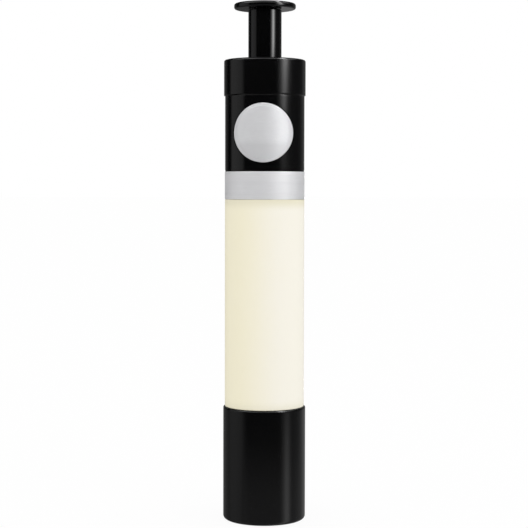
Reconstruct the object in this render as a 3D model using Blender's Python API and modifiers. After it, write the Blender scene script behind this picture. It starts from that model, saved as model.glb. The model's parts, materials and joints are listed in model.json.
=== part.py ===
"""A press-type nail polish pen that stands on its cap.

The origin is the middle of the cap's end face and +Z runs up the pen to the thumb button. The badge faces -Y.
From the bottom up: pull-off cap with its inner cap, brush and nozzle, cream reservoir with the follower
piston, spiral drive in its sleeve, black rear housing, end collar, and the sprung plunger with its thumb
button. Pressing the plunger turns the spiral rotor, whose face teeth turn the nut, and the nut feeds the
screw forward.
"""

import math

import bmesh
import bpy
from mathutils import Matrix, Vector

MM = 0.001

# Play between pieces
PLAY = 0.30 * MM  # between round pieces that slide or turn, and between stacked faces
SEAM = 0.15 * MM  # at the fine seams of the outer tubes, and round what is pressed in
OVERRUN = 1.0 * MM  # how far a cutter passes the face that it cuts
WELD = 0.001 * MM  # points nearer than this are one point

# Outer tubes, from the cap up
CAP_STEP = 0.33 * MM  # how far the cap stands out from the barrel
CAP_LENGTH = 24.4 * MM
CAP_WALL = 1.13 * MM
CAP_END_THICKNESS = 1.4 * MM
CAP_END_ROUND = 1.2 * MM
CAP_RIM_ROUND = 0.25 * MM
BARREL_STEP = 0.025 * MM  # how far the barrel stands out from the housing
BARREL_LENGTH = 44.07 * MM
BAND_STEP = 0.02 * MM  # how far the band stands out from the barrel
BAND_LENGTH = 5.88 * MM
BAND_WALL = 0.57 * MM
HOUSING_WALL = 1.375 * MM
HOUSING_LIP_LENGTH = 0.18 * MM  # the set-back lip that makes the dark line above the band
HOUSING_LIP_STEP = 0.25 * MM
HOUSING_LENGTH = 15.69 * MM
COLLAR_STEP = 0.23 * MM  # how far the collar stands out from the housing
COLLAR_LENGTH = 7.58 * MM
COLLAR_ROUND = 0.4 * MM
COLLAR_TOP_THICKNESS = 1.5 * MM
COLLAR_SPIGOT_WALL = 0.6 * MM

# Badge plate, let into the front of the housing
BADGE_DIAMETER = 12.45 * MM
BADGE_THICKNESS = 0.375 * MM
BADGE_HEIGHT_SHARE = 0.494  # of the housing's length, from its lower end

# Plunger and thumb button
PLUNGER_STROKE = 8.0 * MM
STEM_DIAMETER = 7.08 * MM
STEM_SHOWN = 10.8 * MM
STOP_THICKNESS = 1.8 * MM
SKIRT_WALL = 0.65 * MM
SKIRT_ROOF = 0.8 * MM
BUTTON_DIAMETER = 13.15 * MM
BUTTON_THICKNESS = 1.2 * MM
BUTTON_ROUND = 0.4 * MM
BUTTON_LOWER_ROUND = 0.2 * MM
BUTTON_PLUG_LENGTH = 5.3 * MM
KEY_WIDTH = 1.2 * MM
KEY_HEIGHT = 0.65 * MM

# Barrel, inside and at its ends
BARREL_WALL = 2.0 * MM
SLEEVE_SEAT_DEPTH = 7.42 * MM  # how far the sleeve reaches below the barrel's shoulder
RESERVOIR_FLOOR_RISE = 1.0 * MM
FRONT_WALL = 3.95 * MM
FRONT_SPIGOT_LENGTH = 4.95 * MM
GRIP_RING_WIRE = 0.8 * MM
GRIP_RING_HEIGHT_SHARE = 0.48  # of the front spigot's length, from its end

# Inner cap
LINER_WALL = 1.0 * MM
LINER_FLOOR = 0.8 * MM

# Nozzle, valve and feed
NOZZLE_PLUG_DIAMETER = 10.2 * MM
NOZZLE_PLUG_LENGTH = 8.2 * MM
NOZZLE_FLANGE_THICKNESS = 1.4 * MM
NOZZLE_CONE_LENGTH = 4.9 * MM
NOZZLE_CONE_DIAMETER = 8.8 * MM
NOZZLE_TIP_DIAMETER = 6.0 * MM
NOZZLE_TIP_ROUND = 0.3 * MM
NOZZLE_STOP_HEIGHT = 0.45 * MM
SEAL_WIRE = 0.7 * MM
SEAL_HEIGHT_SHARE = 0.62  # of the nozzle plug's length, from its flange
VALVE_SEAT_DEPTH = 2.5 * MM
VALVE_SEAT_DIAMETER = 7.2 * MM
VALVE_FLANGE_THICKNESS = 1.1 * MM
VALVE_NOSE_LENGTH = 3.5 * MM
VALVE_NOSE_DIAMETER = 3.4 * MM
VALVE_NOSE_TAPER = 0.4 * MM
VALVE_HOLE = 0.6 * MM
RETAINER_THICKNESS = 0.6 * MM
RETAINER_HOLE = 3.2 * MM
TUBE_DIAMETER = 1.0 * MM
TUBE_BORE = 0.5 * MM
TUBE_HOLD = 0.8 * MM  # how far the feed tube reaches into the valve
TUBE_IN_BRUSH = 3.5 * MM  # how far it reaches below the bristles' backing

# Brush
FERRULE_DIAMETER = 4.5 * MM
FERRULE_WALL = 0.3 * MM
FERRULE_LENGTH = 9.2 * MM
FERRULE_CRIMP_DEPTH = 0.12 * MM
FERRULE_CRIMP_WIDTH = 0.8 * MM
BRUSH_TIP_GAP = 0.75 * MM  # between the brush's tip and the inner cap's floor
BRISTLES_IN_FERRULE = 2.5 * MM
BACKING_THICKNESS = 1.0 * MM
STRAND_COUNT = 32  # pairs of strands in one round
STRAND_RING_COUNT = 5
STRAND_GAP = 0.04 * MM
STRAND_TIP_SHARE = 0.5  # of a strand's own thickness
BRUSH_TIP_WIDTH_SHARE = 0.82  # of the backing's width, across the brush
BRUSH_TIP_DEPTH_SHARE = 0.5  # the same from front to back
BRUSH_DOME = 2.2 * MM  # how much shorter the outermost strands are

# Follower piston and its rings
PISTON_PLAY = 0.4 * MM
PISTON_LENGTH = 8.5 * MM
PISTON_CONE = 1.3 * MM
PISTON_PARK_GAP = 0.5 * MM  # above the piston at the start of its travel
PISTON_END_GAP = 0.7 * MM  # below it at the end
PISTON_RING_WIRE = 1.0 * MM
PISTON_RING_SHARES = (0.2, 0.69)  # of the piston's length, from its lower edge
SOCKET_ROOF = 1.0 * MM

# Drive screw
SCREW_WIDTH = 3.6 * MM
SCREW_THICKNESS = 2.2 * MM
THREAD_DEPTH = 0.4 * MM
THREAD_PITCH = 1.5 * MM  # two starts, so the lead is twice this
THREAD_CREST_SHARE = 0.3  # of the pitch
THREAD_FLANK_SHARE = 0.2
SCREW_FOOT_WIDTH = 5.8 * MM
SCREW_FOOT_HEIGHT = 1.8 * MM
SCREW_TOP_MARGIN = 1.7 * MM  # what still stands above the nut at the end of its travel

# Spiral drive, in its sleeve
SLEEVE_WALL = 0.6 * MM
SLEEVE_FLOOR = 2.0 * MM
SLEEVE_LEDGE = 0.6 * MM  # the step that carries the spring seat
NUT_RATCHET_DEPTH = 0.35 * MM
NUT_TOOTH_COUNT = 16
NUT_RIM_LENGTH = 2.2 * MM
NUT_NECK_DIAMETER = 7.0 * MM
NUT_NECK_LENGTH = 0.8 * MM
NUT_CROWN_LENGTH = 0.9 * MM
CROWN_TOOTH_COUNT = 8
CROWN_TOOTH_HEIGHT = 0.6 * MM
ROTOR_FLANGE_DIAMETER = 9.0 * MM
ROTOR_FLANGE_THICKNESS = 0.8 * MM
ROTOR_WALL = 1.04 * MM
ROTOR_TURN = math.radians(60)  # for one full stroke of the plunger
GROOVE_WIDTH = 1.3 * MM
PIN_DIAMETER = 0.7 * MM
PIN_BELOW_ROTOR_TOP = 0.5 * MM
PIN_ABOVE_SKIRT_END = 1.2 * MM
PAWL_RING_WALL = 0.45 * MM
PAWL_RING_LENGTH = 1.8 * MM
PAWL_COUNT = 3
PAWL_REACH = 0.25 * MM
PAWL_LENGTH = 1.3 * MM
PAWL_SLANT = math.radians(24)
SPRING_SEAT_THICKNESS = 0.7 * MM

# Return spring
SPRING_WIRE = 0.7 * MM
SPRING_SEAT_EDGE = 0.5 * MM  # how far the plunger's stop reaches past the spring
COIL_COUNT = 8
END_COIL_COUNT = 1
SPRING_END_PITCH = 1.3 * MM
COIL_POINTS = 10

# Guide bush
BUSH_WALL = 1.7 * MM

# Fineness of the turned shapes
LARGE_FACET_COUNT = 36
MEDIUM_FACET_COUNT = 24
SMALL_FACET_COUNT = 16
ROUND_POINTS = 3
RING_SECTION_POINTS = 6
GROOVE_POINTS = 16
SHARP_ANGLE = math.radians(32)  # edges sharper than this stay sharp in the shading
DOWNWARD_SHARE = -0.9  # a face whose normal's Z is below this faces down
TOOTH_END_SHARE = 0.999  # past this share of a saw tooth the next one starts

# Finishes: colour, roughness, metallic
BLACK_SATIN = ("black_satin", (0.012, 0.012, 0.013), 0.32, 0.0)
BLACK_GLOSS = ("black_gloss", (0.010, 0.010, 0.011), 0.12, 0.0)
CREAM = ("cream_gloss", (0.84, 0.79, 0.66), 0.28, 0.0)
SILVER = ("silver_foil", (0.72, 0.72, 0.74), 0.28, 1.0)
STEEL = ("steel", (0.58, 0.58, 0.57), 0.22, 1.0)
WHITE_PLASTIC = ("white_plastic", (0.80, 0.80, 0.78), 0.42, 0.0)
GREY_PLASTIC = ("grey_plastic", (0.32, 0.33, 0.34), 0.45, 0.0)
CLEAR_RUBBER = ("clear_rubber", (0.62, 0.60, 0.54), 0.55, 0.0)
BLACK_RUBBER = ("black_rubber", (0.02, 0.02, 0.02), 0.6, 0.0)
BRISTLE = ("bristle", (0.74, 0.70, 0.62), 0.5, 0.0)

# Heights worked out from the sizes above
BARREL_FRONT_Z = CAP_LENGTH + SEAM
BARREL_SHOULDER_Z = BARREL_FRONT_Z + BARREL_LENGTH
BAND_Z = BARREL_SHOULDER_Z + SEAM
BAND_TOP_Z = BAND_Z + BAND_LENGTH
HOUSING_LIP_Z = BAND_TOP_Z + SEAM
HOUSING_Z = HOUSING_LIP_Z + HOUSING_LIP_LENGTH
HOUSING_TOP_Z = HOUSING_Z + HOUSING_LENGTH
COLLAR_Z = HOUSING_TOP_Z + SEAM
COLLAR_TOP_Z = COLLAR_Z + COLLAR_LENGTH
BUTTON_Z = COLLAR_TOP_Z + STEM_SHOWN
BUTTON_TOP_Z = BUTTON_Z + BUTTON_THICKNESS

SPIGOT_END_Z = BARREL_FRONT_Z - FRONT_SPIGOT_LENGTH
RESERVOIR_FLOOR_Z = BARREL_FRONT_Z + FRONT_WALL
LEDGE_Z = BARREL_SHOULDER_Z - SLEEVE_SEAT_DEPTH
SLEEVE_Z = LEDGE_Z + PLAY
SLEEVE_FLOOR_Z = SLEEVE_Z + SLEEVE_FLOOR

NUT_Z = SLEEVE_FLOOR_Z + PLAY
NUT_RIM_TOP_Z = NUT_Z + NUT_RIM_LENGTH
NUT_CROWN_Z = NUT_RIM_TOP_Z + NUT_NECK_LENGTH
NUT_TOOTH_ROOT_Z = NUT_CROWN_Z + NUT_CROWN_LENGTH
NUT_TOP_Z = NUT_TOOTH_ROOT_Z + CROWN_TOOTH_HEIGHT
ROTOR_Z = NUT_TOP_Z + PLAY
ROTOR_FLANGE_TOP_Z = ROTOR_Z + CROWN_TOOTH_HEIGHT + ROTOR_FLANGE_THICKNESS
SPRING_SEAT_Z = ROTOR_FLANGE_TOP_Z + PLAY
SPRING_SEAT_TOP_Z = SPRING_SEAT_Z + SPRING_SEAT_THICKNESS
SPRING_Z = SPRING_SEAT_TOP_Z + SEAM

BUSH_Z = HOUSING_TOP_Z
STOP_TOP_Z = BUSH_Z - PLAY
STOP_Z = STOP_TOP_Z - STOP_THICKNESS
SKIRT_ROOF_Z = STOP_TOP_Z - SKIRT_ROOF
ROTOR_TOP_Z = SKIRT_ROOF_Z - PLUNGER_STROKE - PLAY
PIN_Z = ROTOR_TOP_Z - PIN_BELOW_ROTOR_TOP
SKIRT_END_Z = PIN_Z - PIN_ABOVE_SKIRT_END
COLLAR_SPIGOT_Z = STOP_Z - PLUNGER_STROKE - 2 * PLAY
SLEEVE_TOP_Z = COLLAR_SPIGOT_Z - PLAY
SPRING_TOP_Z = STOP_Z - SEAM

PISTON_TOP_Z = SLEEVE_Z - PISTON_PARK_GAP
PISTON_EDGE_Z = PISTON_TOP_Z - PISTON_LENGTH
FOLLOWER_TRAVEL = PISTON_EDGE_Z - PISTON_CONE - PISTON_END_GAP - RESERVOIR_FLOOR_Z
SOCKET_TOP_Z = PISTON_TOP_Z - SOCKET_ROOF
SCREW_FOOT_Z = SOCKET_TOP_Z - PLAY - SCREW_FOOT_HEIGHT
SOCKET_FLOOR_Z = SCREW_FOOT_Z - PLAY
SCREW_TOP_Z = NUT_TOP_Z + SCREW_TOP_MARGIN + FOLLOWER_TRAVEL

NOZZLE_FLANGE_TOP_Z = SPIGOT_END_Z - PLAY
NOZZLE_FLANGE_Z = NOZZLE_FLANGE_TOP_Z - NOZZLE_FLANGE_THICKNESS
NOZZLE_TIP_Z = NOZZLE_FLANGE_Z - NOZZLE_CONE_LENGTH
NOZZLE_TOP_Z = NOZZLE_FLANGE_TOP_Z + NOZZLE_PLUG_LENGTH
VALVE_SEAT_Z = NOZZLE_TOP_Z - VALVE_SEAT_DEPTH
VALVE_FLANGE_Z = VALVE_SEAT_Z + PLAY
VALVE_TOP_Z = VALVE_FLANGE_Z + VALVE_FLANGE_THICKNESS
VALVE_NOSE_Z = VALVE_FLANGE_Z - VALVE_NOSE_LENGTH
FERRULE_TOP_Z = VALVE_NOSE_Z - PLAY - NOZZLE_STOP_HEIGHT - PLAY
FERRULE_Z = FERRULE_TOP_Z - FERRULE_LENGTH
BACKING_Z = FERRULE_Z + BRISTLES_IN_FERRULE
BACKING_TOP_Z = BACKING_Z + BACKING_THICKNESS
LINER_Z = CAP_END_THICKNESS + PLAY
LINER_FLOOR_Z = LINER_Z + LINER_FLOOR
BRUSH_TIP_Z = LINER_FLOOR_Z + BRUSH_TIP_GAP
LINER_TOP_Z = SPIGOT_END_Z - PLAY - SEAM

# Radii worked out from the sizes above. The drive is laid out from the screw outwards, up to the housing.
THREAD_ROOT = SCREW_WIDTH / 2 - THREAD_DEPTH
SCREW_CORNER_RADIUS = math.hypot(SCREW_WIDTH / 2, SCREW_THICKNESS / 2)
FOOT_CORNER_RADIUS = math.hypot(SCREW_FOOT_WIDTH / 2, SCREW_THICKNESS / 2)
SCREW_BORE_RADIUS = SCREW_CORNER_RADIUS + PLAY
ROTOR_RADIUS = SCREW_BORE_RADIUS + ROTOR_WALL
SKIRT_BORE_RADIUS = ROTOR_RADIUS + PLAY
SKIRT_RADIUS = SKIRT_BORE_RADIUS + SKIRT_WALL
SPRING_RADIUS = SKIRT_RADIUS + PLAY + SPRING_WIRE / 2
STOP_RADIUS = SPRING_RADIUS + SPRING_WIRE / 2 + SPRING_SEAT_EDGE
COLLAR_BORE_RADIUS = STOP_RADIUS + PLAY
COLLAR_SPIGOT_RADIUS = COLLAR_BORE_RADIUS + COLLAR_SPIGOT_WALL
KEY_TIP_RADIUS = COLLAR_BORE_RADIUS - KEY_HEIGHT
SLEEVE_SEAT_RADIUS = COLLAR_SPIGOT_RADIUS + PLAY
SLEEVE_RADIUS = SLEEVE_SEAT_RADIUS - PLAY
SLEEVE_BORE_RADIUS = SLEEVE_RADIUS - SLEEVE_WALL
SPRING_SEAT_BORE_RADIUS = ROTOR_RADIUS + PLAY + SEAM
DRIVE_BORE_RADIUS = SLEEVE_BORE_RADIUS - SLEEVE_LEDGE
PAWL_RING_RADIUS = DRIVE_BORE_RADIUS - PLAY
NUT_RADIUS = PAWL_RING_RADIUS - PAWL_RING_WALL - PAWL_REACH - PLAY

HOUSING_RADIUS = SLEEVE_SEAT_RADIUS + HOUSING_WALL
BADGE_RADIUS = BADGE_DIAMETER / 2
BADGE_BACK_RADIUS = HOUSING_RADIUS - BADGE_THICKNESS
COLLAR_RADIUS = HOUSING_RADIUS + COLLAR_STEP
BARREL_RADIUS = HOUSING_RADIUS + BARREL_STEP
RESERVOIR_RADIUS = BARREL_RADIUS - BARREL_WALL
BAND_RADIUS = BARREL_RADIUS + BAND_STEP
BAND_BORE_RADIUS = BAND_RADIUS - BAND_WALL
REAR_SPIGOT_RADIUS = BAND_BORE_RADIUS - SEAM
PISTON_RADIUS = RESERVOIR_RADIUS - PISTON_PLAY
STEM_RADIUS = STEM_DIAMETER / 2
STEM_HOLE_RADIUS = STEM_RADIUS + PLAY
BUSH_RADIUS = STEM_HOLE_RADIUS + BUSH_WALL

CAP_RADIUS = BARREL_RADIUS + CAP_STEP
CAP_BORE_RADIUS = CAP_RADIUS - CAP_WALL
FRONT_SPIGOT_RADIUS = CAP_BORE_RADIUS - PLAY
LINER_RADIUS = CAP_BORE_RADIUS - PLAY
LINER_BORE_RADIUS = LINER_RADIUS - LINER_WALL
NOZZLE_FLANGE_RADIUS = LINER_BORE_RADIUS - PLAY
NOZZLE_PLUG_RADIUS = NOZZLE_PLUG_DIAMETER / 2
NECK_BORE_RADIUS = NOZZLE_PLUG_RADIUS + PLAY
FERRULE_RADIUS = FERRULE_DIAMETER / 2
FERRULE_BORE_RADIUS = FERRULE_RADIUS - FERRULE_WALL
NOZZLE_BORE_RADIUS = FERRULE_RADIUS + PLAY
VALVE_NOSE_RADIUS = VALVE_NOSE_DIAMETER / 2
VALVE_BORE_RADIUS = VALVE_NOSE_RADIUS + PLAY
VALVE_SEAT_RADIUS = VALVE_SEAT_DIAMETER / 2
VALVE_FLANGE_RADIUS = VALVE_SEAT_RADIUS - PLAY
TUBE_RADIUS = TUBE_DIAMETER / 2
VALVE_SOCKET_RADIUS = TUBE_RADIUS + PLAY


# Helpers


def clear_scene():
    """Removes what the scene holds, with the meshes and curves that only it used."""
    for obj in list(bpy.data.objects):
        bpy.data.objects.remove(obj, do_unlink=True)
    for blocks in (bpy.data.meshes, bpy.data.curves, bpy.data.materials):
        for block in list(blocks):
            blocks.remove(block)


def new_collection(name):
    collection = bpy.data.collections.new(name)
    bpy.context.scene.collection.children.link(collection)
    return collection


def finish_material(finish):
    """The Principled material of one finish, made once."""
    name, colour, roughness, metallic = finish
    material = bpy.data.materials.get(name)
    if material is None:
        material = bpy.data.materials.new(name)
        material.use_nodes = True
        shader = material.node_tree.nodes["Principled BSDF"]
        shader.inputs["Base Color"].default_value = (*colour, 1.0)
        shader.inputs["Roughness"].default_value = roughness
        shader.inputs["Metallic"].default_value = metallic
        material.diffuse_color = (*colour, 1.0)
    return material


class Pen:
    """The collections and the body empties that the pieces are put into."""

    def __init__(self):
        self.parts = new_collection("nail_polish_pen")
        self.cutters = new_collection("cutters")
        self.cutters.hide_render = True
        self.bodies = {}

    def add_body(self, name, height):
        """An empty on the pen's axis that carries the pieces of one body."""
        empty = bpy.data.objects.new(name, None)
        empty.location = (0, 0, height)
        empty.empty_display_size = STEM_RADIUS
        self.parts.objects.link(empty)
        self.bodies[name] = empty

    def add_piece(self, name, data, body, finish):
        piece = bpy.data.objects.new(name, data)
        data.materials.clear()
        data.materials.append(finish_material(finish))
        self.parts.objects.link(piece)
        empty = self.bodies[body]
        piece.parent = empty
        piece.matrix_parent_inverse = Matrix.Translation(-empty.location)
        return piece

    def add_cutter(self, name, data):
        cutter = bpy.data.objects.new(name, data)
        self.cutters.objects.link(cutter)
        cutter.hide_render = True
        cutter.display_type = "WIRE"
        return cutter


def arc(centre, radius, start, end, points=ROUND_POINTS):
    """Points on a quarter round of a profile, from one angle to another in degrees, both ends included."""
    angles = [math.radians(start + (end - start) * i / points) for i in range(points + 1)]
    return [(centre[0] + radius * math.cos(a), centre[1] + radius * math.sin(a)) for a in angles]


def turned_data(name, profile, closed=True):
    """A profile in the XZ plane, as a mesh of edges."""
    mesh = bpy.data.meshes.new(name)
    edges = [(i, i + 1) for i in range(len(profile) - 1)]
    if closed:
        edges.append((len(profile) - 1, 0))
    mesh.from_pydata([(radius, 0, height) for radius, height in profile], edges, [])
    return mesh


def spin(obj, steps):
    """Turns the profile about the pen's axis."""
    screw = obj.modifiers.new("turn", "SCREW")
    screw.axis = "Z"
    screw.steps = steps
    screw.render_steps = steps
    screw.use_merge_vertices = True
    screw.merge_threshold = WELD
    return obj


def evaluated_mesh(obj):
    bpy.context.view_layer.update()
    graph = bpy.context.evaluated_depsgraph_get()
    return bpy.data.meshes.new_from_object(obj.evaluated_get(graph))


def settle(obj):
    """Applies the modifiers and shades the result smooth, with its edges kept sharp."""
    mesh = evaluated_mesh(obj)
    mesh.name = obj.name
    obj.modifiers.clear()
    obj.data = mesh
    mesh.shade_smooth()
    mesh.set_sharp_from_angle(angle=SHARP_ANGLE)
    return obj


def turned(pen, name, profile, steps, body, finish, closed=True):
    """A turned piece. The profile runs outwards along its top, down its outer side and back up its bore."""
    return spin(pen.add_piece(name, turned_data(name, profile, closed), body, finish), steps)


def ring(inner, outer, bottom, top):
    """The profile of a plain ring."""
    return [(inner, top), (outer, top), (outer, bottom), (inner, bottom)]


def turned_cutter(pen, name, profile, steps):
    return settle(spin(pen.add_cutter(name, turned_data(name, profile)), steps))


def box_cutter(pen, name, size, place):
    """A box of the given size with its middle at the given place."""
    mesh = bpy.data.meshes.new(name)
    shape = bmesh.new()
    bmesh.ops.create_cube(shape, size=1.0)
    bmesh.ops.scale(shape, vec=size, verts=shape.verts)
    bmesh.ops.translate(shape, vec=place, verts=shape.verts)
    shape.to_mesh(mesh)
    shape.free()
    return pen.add_cutter(name, mesh)


def rod_shape(radius, length, steps, matrix):
    """A round rod as a bmesh, along the Z of the matrix and centred on it."""
    shape = bmesh.new()
    bmesh.ops.create_cone(
        shape, cap_ends=True, segments=steps, radius1=radius, radius2=radius, depth=length, matrix=matrix
    )
    return shape


def mesh_of(name, shape):
    mesh = bpy.data.meshes.new(name)
    shape.to_mesh(mesh)
    shape.free()
    return mesh


def combine(obj, other, operation):
    boolean = obj.modifiers.new(other.name, "BOOLEAN")
    boolean.operation = operation
    boolean.solver = "EXACT"
    boolean.object = other


def round_ring(pen, name, radius, wire, height, body, finish):
    """A rubber ring of round section."""
    bpy.ops.mesh.primitive_torus_add(
        major_segments=MEDIUM_FACET_COUNT,
        minor_segments=RING_SECTION_POINTS,
        major_radius=radius,
        minor_radius=wire / 2,
        location=(0, 0, 0),
    )
    made = bpy.context.object
    mesh = made.data
    mesh.name = name
    mesh.transform(Matrix.Translation((0, 0, height)))
    bpy.data.objects.remove(made, do_unlink=True)
    return settle(pen.add_piece(name, mesh, body, finish))


def tube_curve(name, points, radius):
    """A round wire through the points, as curve data."""
    curve = bpy.data.curves.new(name, "CURVE")
    curve.dimensions = "3D"
    curve.bevel_depth = radius
    curve.bevel_resolution = 1
    curve.use_fill_caps = True
    spline = curve.splines.new("POLY")
    spline.points.add(len(points) - 1)
    for point, place in zip(spline.points, points):
        point.co = (*place, 1.0)
    return curve


def curve_cutter(pen, name, curve):
    """A cutter made from a curve, with its caps welded on."""
    guide = bpy.data.objects.new(name, curve)
    pen.cutters.objects.link(guide)
    mesh = evaluated_mesh(guide)
    mesh.transform(guide.matrix_world)
    bpy.data.objects.remove(guide, do_unlink=True)
    shape = bmesh.new()
    shape.from_mesh(mesh)
    bmesh.ops.remove_doubles(shape, verts=shape.verts, dist=WELD)
    bmesh.ops.recalc_face_normals(shape, faces=shape.faces)
    shape.to_mesh(mesh)
    shape.free()
    return pen.add_cutter(name, mesh)


def saw(angle, teeth):
    """The height of a saw tooth at an angle about the axis, from 0 up to 1 along each tooth."""
    turn = (angle / math.tau * teeth) % 1.0
    return 0.0 if turn > TOOTH_END_SHARE else turn


# Cap


def make_cap_shell(pen):
    profile = [(0, CAP_END_THICKNESS), (CAP_BORE_RADIUS, CAP_END_THICKNESS), (CAP_BORE_RADIUS, CAP_LENGTH)]
    profile += arc((CAP_RADIUS - CAP_RIM_ROUND, CAP_LENGTH - CAP_RIM_ROUND), CAP_RIM_ROUND, 90, 0)
    profile += arc((CAP_RADIUS - CAP_END_ROUND, CAP_END_ROUND), CAP_END_ROUND, 0, -90)
    profile += [(0, 0)]
    turned(pen, "cap_shell", profile, LARGE_FACET_COUNT, "cap", BLACK_SATIN, closed=False)


def make_cap_liner(pen):
    profile = [
        (0, LINER_FLOOR_Z),
        (LINER_BORE_RADIUS, LINER_FLOOR_Z),
        (LINER_BORE_RADIUS, LINER_TOP_Z),
        (LINER_RADIUS, LINER_TOP_Z),
        (LINER_RADIUS, LINER_Z),
        (0, LINER_Z),
    ]
    turned(pen, "cap_liner", profile, LARGE_FACET_COUNT, "cap", WHITE_PLASTIC, closed=False)


# Barrel and outer tubes


def groove(radius, floor_radius, height, width):
    """Four points of a groove in a profile that runs downwards."""
    top = height + width / 2
    bottom = height - width / 2
    return [(radius, top), (floor_radius, top), (floor_radius, bottom), (radius, bottom)]


def grip_ring_place():
    """The ring's middle radius and height, and the radius of its groove's floor."""
    radius = CAP_BORE_RADIUS - SEAM - GRIP_RING_WIRE / 2
    height = SPIGOT_END_Z + FRONT_SPIGOT_LENGTH * GRIP_RING_HEIGHT_SHARE
    return radius, height, radius - GRIP_RING_WIRE / 2 - PLAY


def make_barrel(pen):
    top = BAND_TOP_Z
    _, ring_height, ring_floor = grip_ring_place()
    profile = [
        (SLEEVE_SEAT_RADIUS, top),
        (REAR_SPIGOT_RADIUS, top),
        (REAR_SPIGOT_RADIUS, BARREL_SHOULDER_Z),
        (BARREL_RADIUS, BARREL_SHOULDER_Z),
        (BARREL_RADIUS, BARREL_FRONT_Z),
        (FRONT_SPIGOT_RADIUS, BARREL_FRONT_Z),
        *groove(FRONT_SPIGOT_RADIUS, ring_floor, ring_height, GRIP_RING_WIRE + 2 * PLAY),
        (FRONT_SPIGOT_RADIUS, SPIGOT_END_Z),
        (NECK_BORE_RADIUS, SPIGOT_END_Z),
        (NECK_BORE_RADIUS, RESERVOIR_FLOOR_Z),
        (RESERVOIR_RADIUS, RESERVOIR_FLOOR_Z + RESERVOIR_FLOOR_RISE),
        (RESERVOIR_RADIUS, LEDGE_Z),
        (SLEEVE_SEAT_RADIUS, LEDGE_Z),
    ]
    turned(pen, "barrel", profile, LARGE_FACET_COUNT, "barrel_body", CREAM)


def make_cap_grip_ring(pen):
    radius, height, _ = grip_ring_place()
    round_ring(pen, "cap_grip_ring", radius, GRIP_RING_WIRE, height, "barrel_body", BLACK_RUBBER)


def make_trim_band(pen):
    profile = ring(BAND_BORE_RADIUS, BAND_RADIUS, BAND_Z, BAND_TOP_Z)
    turned(pen, "trim_band", profile, LARGE_FACET_COUNT, "barrel_body", SILVER)


def badge_disc(pen, name, radius):
    """A round rod that points to the front, as wide as the badge or its recess."""
    height = HOUSING_Z + HOUSING_LENGTH * BADGE_HEIGHT_SHARE
    place = Matrix.Translation((0, -HOUSING_RADIUS, height)) @ Matrix.Rotation(math.radians(90), 4, "X")
    return pen.add_cutter(name, mesh_of(name, rod_shape(radius, HOUSING_RADIUS, LARGE_FACET_COUNT, place)))


def make_rear_housing(pen):
    profile = [
        (SLEEVE_SEAT_RADIUS, HOUSING_TOP_Z),
        (HOUSING_RADIUS, HOUSING_TOP_Z),
        (HOUSING_RADIUS, HOUSING_Z),
        (HOUSING_RADIUS - HOUSING_LIP_STEP, HOUSING_Z),
        (HOUSING_RADIUS - HOUSING_LIP_STEP, HOUSING_LIP_Z),
        (SLEEVE_SEAT_RADIUS, HOUSING_LIP_Z),
    ]
    housing = turned(pen, "rear_housing", profile, LARGE_FACET_COUNT, "barrel_body", BLACK_GLOSS)
    recess_profile = ring(
        BADGE_BACK_RADIUS - PLAY, HOUSING_RADIUS + OVERRUN, HOUSING_Z - OVERRUN, HOUSING_TOP_Z + OVERRUN
    )
    recess = turned_cutter(pen, "badge_recess", recess_profile, LARGE_FACET_COUNT)
    combine(recess, badge_disc(pen, "badge_recess_disc", BADGE_RADIUS + SEAM), "INTERSECT")
    combine(housing, recess, "DIFFERENCE")
    settle(housing)


def make_badge_plate(pen):
    profile = ring(BADGE_BACK_RADIUS, HOUSING_RADIUS, HOUSING_Z - OVERRUN, HOUSING_TOP_Z + OVERRUN)
    badge = turned(pen, "badge_plate", profile, LARGE_FACET_COUNT, "barrel_body", SILVER)
    combine(badge, badge_disc(pen, "badge_disc", BADGE_RADIUS), "INTERSECT")
    settle(badge)


def make_end_collar(pen):
    roof = COLLAR_TOP_Z - COLLAR_TOP_THICKNESS
    profile = [(STEM_HOLE_RADIUS, COLLAR_TOP_Z)]
    profile += arc((COLLAR_RADIUS - COLLAR_ROUND, COLLAR_TOP_Z - COLLAR_ROUND), COLLAR_ROUND, 90, 0)
    profile += [
        (COLLAR_RADIUS, COLLAR_Z),
        (COLLAR_SPIGOT_RADIUS, COLLAR_Z),
        (COLLAR_SPIGOT_RADIUS, COLLAR_SPIGOT_Z),
        (COLLAR_BORE_RADIUS, COLLAR_SPIGOT_Z),
        (COLLAR_BORE_RADIUS, BUSH_Z),
        (BUSH_RADIUS + PLAY, BUSH_Z),
        (BUSH_RADIUS + PLAY, roof),
        (STEM_HOLE_RADIUS, roof),
    ]
    collar = turned(pen, "end_collar", profile, LARGE_FACET_COUNT, "barrel_body", BLACK_GLOSS)
    key_depth = KEY_HEIGHT + COLLAR_SPIGOT_WALL / 2
    key = box_cutter(
        pen,
        "plunger_key",
        (key_depth, KEY_WIDTH, BUSH_Z - COLLAR_SPIGOT_Z),
        (KEY_TIP_RADIUS + key_depth / 2, 0, (BUSH_Z + COLLAR_SPIGOT_Z) / 2),
    )
    combine(collar, key, "UNION")
    settle(collar)


def make_guide_bush(pen):
    top = COLLAR_TOP_Z - COLLAR_TOP_THICKNESS - SEAM
    profile = ring(STEM_HOLE_RADIUS, BUSH_RADIUS, BUSH_Z, top)
    turned(pen, "guide_bush", profile, MEDIUM_FACET_COUNT, "barrel_body", WHITE_PLASTIC)


# Nozzle and brush


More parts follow.
